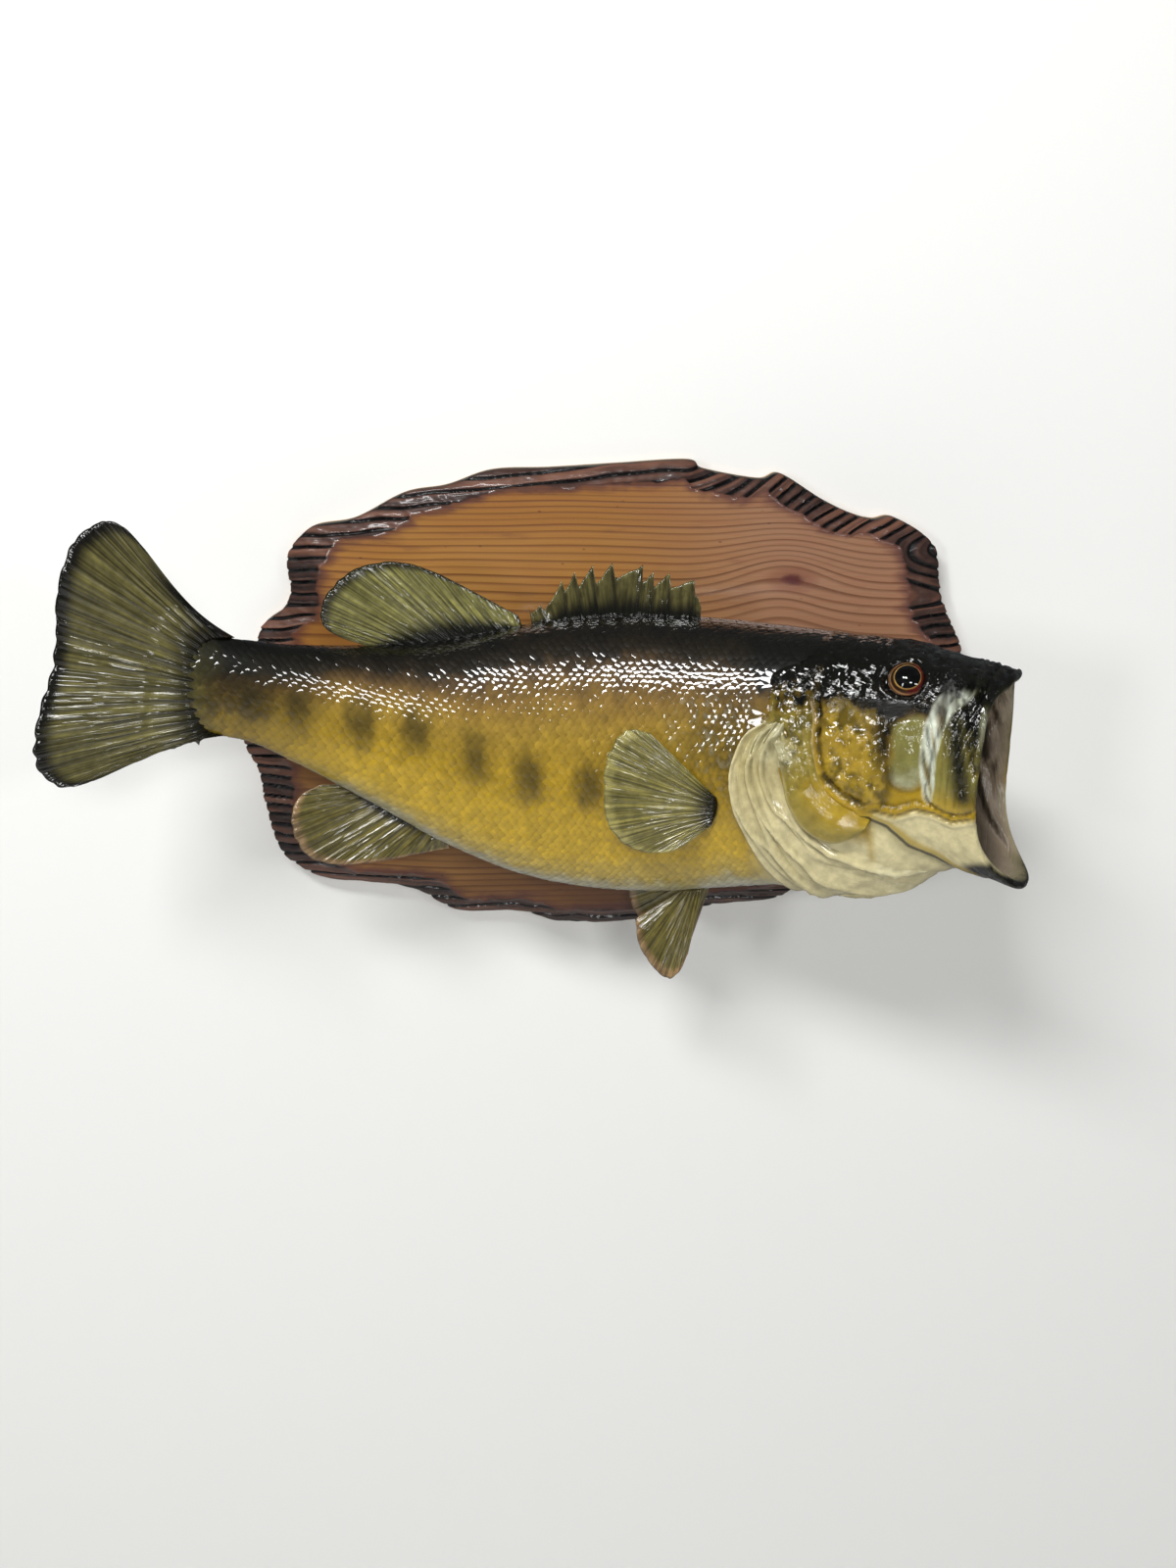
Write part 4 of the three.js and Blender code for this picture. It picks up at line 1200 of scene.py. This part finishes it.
def make_board(material):
    """The carved board: a sawn edge, a burnt and gouged rim, and a flat face."""
    outer = curve(BOARD_CORNERS, np.arange(RIM_STEPS + 1) / RIM_STEPS % 1.0, closed=True)
    inner = outer * [1 - RIM_SIDE / HALF_LENGTH, 1 - RIM_TOP / HALF_HEIGHT]
    length = np.concatenate([[0], np.cumsum(np.hypot(*np.diff(outer, axis=0).T))])
    ragged = 0.14 * waves(length / 14, 0.5, 61) + 0.1 * waves(length / 4, 0.5, 60)
    inner = inner + (outer - inner) * ragged[:, None]

    # outline, height and charring of each step up the edge, over the rim and onto the face
    profile = [(outer, part * BOARD_EDGE, 0.5 + 0.4 * part) for part in np.linspace(0, 1, EDGE_STEPS)]
    for part in np.linspace(0, 1, SLOPE_STEPS + 1)[1:]:
        rounded = part + 0.25 * math.sin(math.pi * part) * (1 - part)
        charred = 1.0 - 0.55 * max(0.0, part - 0.7) / 0.3
        profile.append((blend(outer, inner, part), blend(BOARD_EDGE, BOARD_FACE, rounded), charred))
    for part in np.linspace(0.15, 1.0, FACE_STEPS):
        profile.append((inner * (1 - 0.07 * part), BOARD_FACE, 0.42 * (1 - part) ** 1.5))
    x = np.stack([outline[:, 0] for outline, _height, _charred in profile], 1)
    z = np.stack([outline[:, 1] for outline, _height, _charred in profile], 1)
    y = np.array([height for _outline, height, _charred in profile])[None, :] + 0 * x
    char = np.array([charred for _outline, _height, charred in profile])[None, :]

    # the burnt rim is gouged along its soft grain: level teeth at the ends of the board,
    # slanting strokes along its top
    wander = 0.30 * waves(x / 55, z / 45, 62) + 0.16 * waves(x / 15, z / 15, 63)
    slant = 0.42 * smooth(20, 110, x) * smooth(60, 100, z) + 0.12
    level = (z - slant * (x - 60) * (z > -40)) / 6.4 + wander
    number = np.floor(level)
    uneven = chance(number, 0, 65)
    tooth = smooth(0.08, 0.55, np.abs(np.sin(math.pi * level))) * (0.72 + 0.28 * uneven)
    fine = 0.5 + 0.5 * waves(level * 5, x / 26, 66)
    ridge = np.clip(0.95 * tooth + 0.3 * fine - 0.15, 0, 1)
    chips = 0.5 + 0.5 * rough(x / 9, z / 5, 67)
    # how deep the gouges go at each step of the profile
    on_rim = np.concatenate([
        np.zeros(3), np.linspace(0.1, 0.8, EDGE_STEPS - 3),
        np.sin(np.linspace(0.5, math.pi, SLOPE_STEPS)) * 0.9 + 0.1, np.zeros(FACE_STEPS),
    ])[None, :]
    on_rim[..., -FACE_STEPS - 1:] = 0
    dig = on_rim * (2.3 * (1 - ridge) + 1.1 * (1 - chips))
    direction = (outer - inner)[:, None, :]
    direction = direction / np.linalg.norm(direction, axis=-1, keepdims=True)
    x = x - direction[..., 0] * dig * 0.5
    z = z - direction[..., 1] * dig * 0.5
    y = y - dig * 0.85 * (y > 0.5)
    points = np.stack([x, -y, z], -1) * MM
    sawn = EDGE_STEPS - 2
    side = np.concatenate([np.ones(sawn), [0.5], np.zeros(len(profile) - sawn - 1)])[None, :]
    rim = sheet(points, {"char": char, "ridge": ridge, "side": side, "behind": 0.0})

    whole = bmesh.new()
    whole.from_mesh(rim)
    bpy.data.meshes.remove(rim)
    bmesh.ops.remove_doubles(whole, verts=whole.verts, dist=MERGE_DISTANCE)
    open_edges = [e for e in whole.edges if e.is_boundary]
    front = [e for e in open_edges if e.verts[0].co.y < -0.01]
    back = [e for e in open_edges if e.verts[0].co.y > -0.01]
    bmesh.ops.contextual_create(whole, geom=front)

    # the hanger's pocket in the back
    plate = bmesh.ops.create_grid(whole, x_segments=1, y_segments=1, size=0.5)["verts"]
    for vertex in plate:
        vertex.co = (
            vertex.co.x * POCKET_WIDTH * MM, 0.0,
            (vertex.co.y * POCKET_HEIGHT + POCKET_MIDDLE) * MM,
        )
    floor = plate[0].link_faces[0]
    lip = list(floor.edges)
    deeper = bmesh.ops.extrude_face_region(whole, geom=[floor])
    moved = [item for item in deeper["geom"] if isinstance(item, bmesh.types.BMVert)]
    bmesh.ops.translate(whole, verts=moved, vec=(0, -POCKET_DEPTH * MM, 0))
    if floor.is_valid:
        bmesh.ops.delete(whole, geom=[floor], context="FACES_ONLY")
    bmesh.ops.triangle_fill(whole, use_beauty=True, edges=back + lip)
    bmesh.ops.recalc_face_normals(whole, faces=whole.faces)
    behind = whole.verts.layers.float["behind"]
    for vertex in whole.verts:
        vertex[behind] = 1.0 if vertex.co.y > -0.004 else 0.0
    mesh = as_mesh("carved_board", whole)
    finish_piece(mesh, material, ("board",), sharp=50)


# ---- materials

PAINT_MARKS = ("Rise", "Blotch", "Black", "Gold", "Olive", "Pale", "Cream", "Flesh")
FIN_TINTS = {
    # web, rays and margin
    "tail": ((104, 98, 56), (46, 43, 26), (18, 17, 12)),
    "soft back": ((128, 124, 70), (62, 60, 34), (44, 42, 26)),
    "spiny back": ((80, 75, 42), (45, 42, 26), (84, 80, 48)),
    "side": ((130, 122, 66), (72, 66, 34), (142, 134, 78)),
    "belly": ((108, 99, 50), (60, 54, 29), (128, 104, 72)),
}
KNOT_X = 0.108
KNOT_Z = 0.075


def fish_paint():
    """The fish's colours from its markings, shared by its skin and its scales."""
    tree, given = group(
        "fish paint", {"Place": "place", **dict.fromkeys(PAINT_MARKS, "value")}, {"Colour": "colour"})
    mottle = grain(given["Place"], 160.0, 4.0, 0.6)
    patchy = grain(given["Place"], 38.0, 3.0, 0.55)
    paint = ramp(patchy * 0.10 + given["Rise"] - 0.05, [
        (0.0, colour(184, 180, 162)), (0.05, colour(172, 164, 126)), (0.1, colour(174, 150, 62)),
        (0.2, colour(180, 148, 26)), (0.45, colour(162, 132, 32)), (0.64, colour(152, 124, 46)),
        (0.76, colour(126, 98, 42)), (0.84, colour(82, 62, 32)), (0.90, colour(32, 26, 16)),
        (1.0, colour(8, 8, 6)),
    ])
    # layers over the ramp; besides the fish's own colours, Pale also carries painted highlights, sheen
    # and glints, and Black also carries painted shade, both set in markings() and the gill flaps
    for name, tint, speckled in (
        ("Blotch", (64, 54, 22), 0.2), ("Gold", (162, 136, 44), 0.45), ("Olive", (120, 116, 62), 0.3),
        ("Cream", (203, 192, 147), 0.12), ("Pale", (206, 212, 194), 0.4),
        ("Flesh", (150, 134, 114), 0.2), ("Black", (13, 13, 9), 0.4),
    ):
        spotted = maths("SUBTRACT", mottle * speckled + given[name], speckled / 2, clamp=True)
        paint = mix(spotted * spread(given[name], 0.0, 0.12), paint, colour(*tint))
    paint = shaded(paint, spread(mottle, 0.3, 0.75, 0.82, 1.12))
    node(tree, "NodeGroupOutput", {"Colour": paint})
    return tree


def painted(tree, shared):
    """The fish's colours in a material, from the mesh's markings."""
    marks = {label: mark(tree, label.lower()) for label in PAINT_MARKS}
    return wire(tree, "ShaderNodeGroup", {"Place": object_place(tree), **marks}, node_tree=shared)


def skin_material(shared):
    """Varnished skin with glinting facets, leathery grain and creases."""
    material, tree = blank("fish skin")
    place = object_place(tree)
    paint = painted(tree, shared)
    # a gold trim along the jaw's edge, and a shadow and a dark line under it
    jaw = grain(place, 130.0, 3.0, 0.6) * 1.6 + mark(tree, "jaw")
    trim = spread(jaw, -0.4, 0.8) * spread(jaw, 4.2, 1.6)
    shadow = spread(jaw, 0.6, -0.6) * spread(jaw, -7.5, -2.0)
    under = spread(jaw, 0.9, -0.1) * spread(jaw, -2.6, -1.0)
    paint = mix(trim * 0.8, paint, colour(150, 128, 44))
    paint = mix(shadow * 0.45, paint, colour(122, 114, 66))
    paint = mix(under * 0.85, paint, colour(40, 34, 18))
    # painted shade: the skin is darkened where the groove marking says it lies in a crease, fold or
    # hollow
    crease_shade = mix(0.8, paint, colour(30, 26, 16), "MULTIPLY")
    paint = mix(mark(tree, "groove") * 0.85, paint, crease_shade)
    # painted shade: darker deep in the mouth and at the gill membrane's root, by the deep marking
    paint = shaded(paint, spread(mark(tree, "deep"), 0.0, 1.0, 1.0, 0.22))

    # small flat facets, each tipped its own way, that glint one by one
    plates = node(tree, "ShaderNodeTexVoronoi", {"Vector": place, "Scale": 370.0}, feature="F1").outputs
    tip = vectors("SUBTRACT", Wire(plates["Color"]), (0.5, 0.5, 0.5))
    run = vectors("SUBTRACT", place, Wire(plates["Position"]))
    facet = vectors("DOT_PRODUCT", tip, run, "Value") * 1700.0
    scaly = mark(tree, "scaly")
    glinting = maths("MAXIMUM", scaly, mark(tree, "black") * 0.7)
    lumps = grain(place, 95.0, 3.0, 0.55) * 4.0
    leather = grain(place, 300.0, 2.0, 0.5) * (mark(tree, "cream") * -0.4 + 0.8)
    # fine creases that run with the skin's own folds
    flow = wire(tree, "ShaderNodeCombineXYZ", {
        0: mark(tree, "over") * 0.42, 1: mark(tree, "with") * 0.05,
    })
    strand = grain(flow, 1.0, 3.0, 0.6, 0.3)
    crease = maths("ABSOLUTE", strand - 0.5) * -9.0 * mark(tree, "creased")
    height = facet * glinting + (lumps * scaly + leather + crease)
    return dressed(
        material, Base_Color=paint, Specular_IOR_Level=0.5, Normal=bumped(height, 0.5, 0.0007),
        Roughness=spread(mark(tree, "flesh"), 0.0, 1.0, 0.1, 0.32))


def scale_material(shared):
    """Scales under a thick clear varnish."""
    material, tree = blank("fish scales")
    tone = spread(mark(tree, "tone"), 0.0, 1.0, 0.9, 1.08)
    # painted shade: each scale is darker towards its front, where the scale before it overlaps it; tone
    # is each scale's own random tone
    paint = shaded(painted(tree, shared), tone * spread(mark(tree, "tip"), 0.3, 0.8, 0.84, 1.03))
    fine = grain(object_place(tree), 500.0, 2.0, 0.6)
    return dressed(
        material, Base_Color=paint, Roughness=0.42, Specular_IOR_Level=0.1, Coat_Weight=1.0,
        Coat_Roughness=0.05, Normal=bumped(fine, 0.2, 0.0003))


def fin_material(name, web, ray, margin):
    """A dried and varnished fin, with a dark root and its own margin."""
    material, tree = blank(name)
    place = object_place(tree)
    spots = grain(place, 220.0, 4.0, 0.6)
    broad = grain(place, 40.0, 3.0, 0.55)
    darker_web = tuple(blend(first, second, 0.25) for first, second in zip(web, ray))
    paint = mix(spread(broad, 0.3, 0.7), web, darker_web)
    paint = mix(mark(tree, "ray") * 0.7, paint, ray)
    paint = mix(spread(spots * 0.5 + mark(tree, "edge"), 0.5, 1.2), paint, margin)
    paint = mix(spread(spots * 0.3 + mark(tree, "dark"), 0.2, 1.0), paint, colour(17, 16, 10))
    paint = shaded(paint, spread(spots, 0.3, 0.7, 0.78, 1.16))
    # fine rays between the modelled ones
    flow = wire(tree, "ShaderNodeCombineXYZ", {
        0: mark(tree, "across") * 5.0, 1: mark(tree, "reach") * 1.5,
    })
    strands = grain(flow, 1.0, 2.0, 0.5)
    paint = shaded(paint, spread(strands, 0.35, 0.65, 0.58, 1.3))
    height = strands * 1.5 + spots * 0.25
    return dressed(
        material, Base_Color=paint, Roughness=0.09, Specular_IOR_Level=0.7,
        Normal=bumped(height, 0.6, 0.0006))


def iris_material():
    """The painted ball: a black pupil in a gold ring, and a brown iris."""
    material, tree = blank("iris")
    ahead = mark(tree, "ahead")
    ring = ahead * -0.06 + mark(tree, "ring")
    paint = ramp(ring, [
        (0.0, colour(3, 3, 3)), (0.665, colour(3, 3, 3)), (0.68, colour(236, 196, 108)),
        (0.72, colour(160, 112, 48)), (0.77, colour(44, 28, 16)), (0.86, colour(60, 36, 20)),
        (0.92, colour(196, 146, 88)), (0.97, colour(110, 76, 46)),
    ])
    reddish = spread(ahead, -0.1, 0.7) * spread(ring, 0.66, 0.72)
    paint = mix(reddish * 0.75, paint, colour(120, 30, 26))
    flecks = grain(object_place(tree), 900.0, 3.0, 0.7)
    paint = shaded(paint, spread(flecks, 0.3, 0.7, 0.8, 1.2))
    return dressed(material, Base_Color=paint, Roughness=0.4, Specular_IOR_Level=0.05)


def glass_material():
    """The clear dome over the painted ball."""
    material, _tree = blank("clear glass")
    return dressed(material, Roughness=0.0, Transmission_Weight=1.0, IOR=1.45)


def softwood():
    """Softwood: level latewood lines that bend round a knot."""
    tree, given = group("softwood", {"Place": "place"}, {"Colour": "colour", "Lines": "value"})
    place = given["Place"]
    split = node(tree, "ShaderNodeSeparateXYZ", {0: place}).outputs
    x, z = Wire(split[0]), Wire(split[2])
    from_x, from_z = x - KNOT_X, z - KNOT_Z

    def oval(across, up, wide, high):
        """Squared distance from the middle of an oval, 1 at its edge."""
        right, above = across * (1 / wide), up * (1 / high)
        return right * right + above * above

    def hill(across, up, wide, high):
        """A soft hill, 1 in the middle, as large as an oval."""
        return maths("EXPONENT", oval(across, up, wide, high) * -1.0)

    # the lines rise in an arch over the knot and part round it
    arch = hill(from_x + 0.006, from_z + 0.004, 0.034, 0.040)
    beside = arch * -0.013 + z - 0.064
    level = beside * (hill(from_x, beside, 0.030, 0.011) * -0.7 + 1.0) + 0.064
    slow = grain(stretched(place, (3.5, 3.5, 7.0)), 1.0, 2.0, 0.5)
    level = slow * 0.020 + level
    phase = level * 70.0 + level * maths("ABSOLUTE", level) * 850.0
    uneven_ring = wire(tree, "ShaderNodeTexNoise", {
        "W": maths("FLOOR", phase) * 7.3, "Scale": 1.0, "Detail": 0.0,
    }, "Fac", noise_dimensions="1D")
    step = maths("FRACT", phase)
    late = spread(step, 0.45, 0.88) * spread(step, 1.0, 0.92)
    late = late * spread(uneven_ring, 0.3, 0.7, 0.45, 1.0)
    fibre = grain(stretched(place, (30.0, 30.0, 900.0)), 1.0, 4.0, 0.6)
    broad = grain(stretched(place, (4.0, 4.0, 12.0)), 1.0, 3.0, 0.5)
    paint = mix(spread(broad, 0.35, 0.65), colour(150, 102, 46), colour(168, 122, 62))
    rosy = mix(broad, colour(138, 99, 72), colour(158, 118, 92))
    paint = mix(spread(x, -0.02, 0.12), paint, rosy)
    paint = mix(late * 0.78, paint, colour(84, 48, 26))
    pins = wire(tree, "ShaderNodeTexVoronoi", {
        "Vector": stretched(place, (60.0, 60.0, 130.0)), "Scale": 1.0,
    }, "Distance", feature="F1")
    paint = mix(spread(pins, 0.09, 0.03) * 0.7, paint, colour(74, 40, 28))
    paint = mix(spread(fibre, 0.35, 0.7) * 0.25, paint, colour(138, 78, 44))
    knot = grain(place, 260.0) * 1.2 + oval(from_x, from_z, 0.0065, 0.0034)
    paint = mix(spread(knot, 2.2, 0.6), paint, colour(62, 30, 34))
    paint = mix(spread(knot, 9.0, 1.5) * 0.4, paint, colour(104, 46, 34))
    low = spread(z, -0.01, -0.07) * spread(broad, 0.72, 0.5)
    paint = mix(low * 0.85, paint, colour(76, 40, 18))
    node(tree, "NodeGroupOutput", {"Colour": paint, "Lines": late})
    return tree


def board_material():
    """Varnished wood, smoked and burnt towards its rim, and bare behind."""
    material, tree = blank("varnished board")
    place = object_place(tree)
    made = node(tree, "ShaderNodeGroup", {"Place": place}, node_tree=softwood()).outputs
    wood, lines = Wire(made["Colour"]), Wire(made["Lines"])
    char, behind = mark(tree, "char"), mark(tree, "behind")
    smoke = grain(place, 55.0, 4.0, 0.6)
    burnt = ramp(smoke * 0.3 + mark(tree, "ridge") - 0.15, [
        (0.3, colour(6, 5, 5)), (0.6, colour(26, 17, 16)), (0.8, colour(66, 44, 37)),
        (1.0, colour(108, 72, 56)),
    ])
    streaks = grain(stretched(place, (22.0, 22.0, 120.0)), 1.0, 4.0, 0.6)
    uneven = streaks * 0.9 + char - 0.45
    glazed = mix(0.8, wood, colour(84, 48, 44))
    paint = mix(spread(uneven, 0.05, 0.4), wood, glazed)
    paint = mix(spread(uneven, 0.35, 0.6), paint, burnt)
    blotched = mix(smoke, colour(60, 56, 50), colour(112, 110, 98))
    paint = mix(mark(tree, "side"), paint, blotched)
    fibre = grain(stretched(place, (20.0, 20.0, 500.0)), 1.0)
    paint = mix(behind, paint, mix(fibre, colour(196, 164, 120), colour(168, 132, 90)))
    height = streaks * char * 3.0 + lines * -0.4
    return dressed(
        material, Base_Color=paint, Coat_Roughness=0.14, Specular_IOR_Level=0.3,
        Roughness=spread(maths("MAXIMUM", behind, char * 0.4), 0.0, 1.0, 0.35, 0.8),
        Coat_Weight=(behind * -0.8 + 0.8) * (char * -0.6 + 1.0), Normal=bumped(height, 0.3, 0.0007))


def steel_material():
    """The hanger's cloudy zinc."""
    material, tree = blank("zinc plated steel")
    cloud = grain(object_place(tree), 90.0, 4.0, 0.6)
    return dressed(
        material, Base_Color=mix(cloud, colour(150, 152, 156), colour(200, 202, 205)), Metallic=1.0,
        Roughness=spread(cloud, 0.3, 0.7, 0.3, 0.5))


# ---- build

SIDES = (("right", 1), ("left", -1))

paint_group = fish_paint()
skin_look = skin_material(paint_group)
scale_look = scale_material(paint_group)
fin_looks = {}
for place, tints in FIN_TINTS.items():
    fin_looks[place] = fin_material(place + " fin", *[colour(*tint) for tint in tints])

skin_parts = [skin_mesh()]
for seed, way, fineness in ((5, 1, 1.0), (9, -1, 0.5)):
    skin_parts += [gill_cover(way, seed, fineness), gill_membrane(way, seed, fineness)]
flesh_nodes = ["trunk", "tail_stalk", "head", "upper_jaw", "lower_jaw"]
for part in ("maxilla", "gill_cover", "gill_membrane"):
    flesh_nodes += [part + "_" + word for word, _way in SIDES]
piece("fish_skin", skin_parts, skin_look, flesh_nodes)

for word, way in SIDES:
    scale_coat("scales_" + word, way, 11 + way, scale_look)
make_fins(fin_looks)
iris_look, glass_look = iris_material(), glass_material()
for word, way in SIDES:
    make_eye("eye_" + word, way, iris_look, glass_look)
make_board(board_material())
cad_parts["hanger"].data.materials.clear()
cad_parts["hanger"].data.materials.append(steel_material())


# ---- stage, light, camera

def plane(name, size, location, turned, material):
    """A flat square of the stage."""
    mesh = flat_grid(name, 1, 1, size)
    mesh.materials.append(material)
    thing = bpy.data.objects.new(name, mesh)
    thing.location = location
    thing.rotation_euler = turned
    bpy.context.scene.collection.objects.link(thing)
    return thing


def wall_material():
    """A pale wall that only shows from the room's side."""
    material, tree = blank("pale wall")
    dressed(material, Roughness=0.6, Base_Color=(0.80, 0.80, 0.78, 1))
    chosen = wire(tree, "ShaderNodeMixShader", {
        0: wire(tree, "ShaderNodeNewGeometry", output="Backfacing"),
        1: Wire(tree.nodes["Principled BSDF"].outputs[0]),
        2: wire(tree, "ShaderNodeBsdfTransparent"),
    })
    feed(tree.nodes["Material Output"], {"Surface": chosen})
    return material


def lamp(name, place, size, power):
    """A flat lamp that shines at the middle of the board's back."""
    data = bpy.data.lights.new(name, "AREA")
    data.shape = "RECTANGLE"
    data.size, data.size_y = size
    data.energy = power
    thing = bpy.data.objects.new(name, data)
    thing.location = place
    thing.rotation_euler = Vector(place).to_track_quat("Z", "Y").to_euler()
    bpy.context.scene.collection.objects.link(thing)


wall = plane("wall", 3.0, (0, 0.0006, 0), (math.radians(90), 0, 0), wall_material())
wall.visible_shadow = False
wall.visible_glossy = False
floor_look, _tree = blank("pale floor")
dressed(floor_look, Roughness=0.6, Base_Color=(0.72, 0.71, 0.69, 1))
plane("floor", 4.0, (0, -0.5, -1.3), (0, 0, 0), floor_look)

lamp("ceiling lamp", (-0.75, -1.38, 1.40), (0.95, 0.34), 38)
lamp("lamp behind the viewer", (0.6, -4.2, 1.4), (1.1, 0.5), 42)
lamp("left lamp", (-1.62, -2.32, 0.36), (0.34, 0.55), 14)
lamp("right lamp", (1.5, -2.4, 0.75), (0.5, 0.3), 8)

world = bpy.data.worlds.new("room")
world.use_nodes = True
world.node_tree.nodes["Background"].inputs["Color"].default_value = (0.9, 0.95, 1.0, 1)
world.node_tree.nodes["Background"].inputs["Strength"].default_value = 0.10
bpy.context.scene.world = world
bpy.context.scene.view_settings.view_transform = "Standard"

camera_data = bpy.data.cameras.new("camera")
camera_data.lens = 31.5
camera_data.sensor_width = 36.0
camera_data.clip_start = 0.01
camera = bpy.data.objects.new("camera", camera_data)
camera.location = (-0.027166, -0.826, 0.185365)
camera.rotation_euler = [math.radians(angle) for angle in (73.5800, -1.1363, -0.8753)]
bpy.context.scene.collection.objects.link(camera)
bpy.context.scene.camera = camera
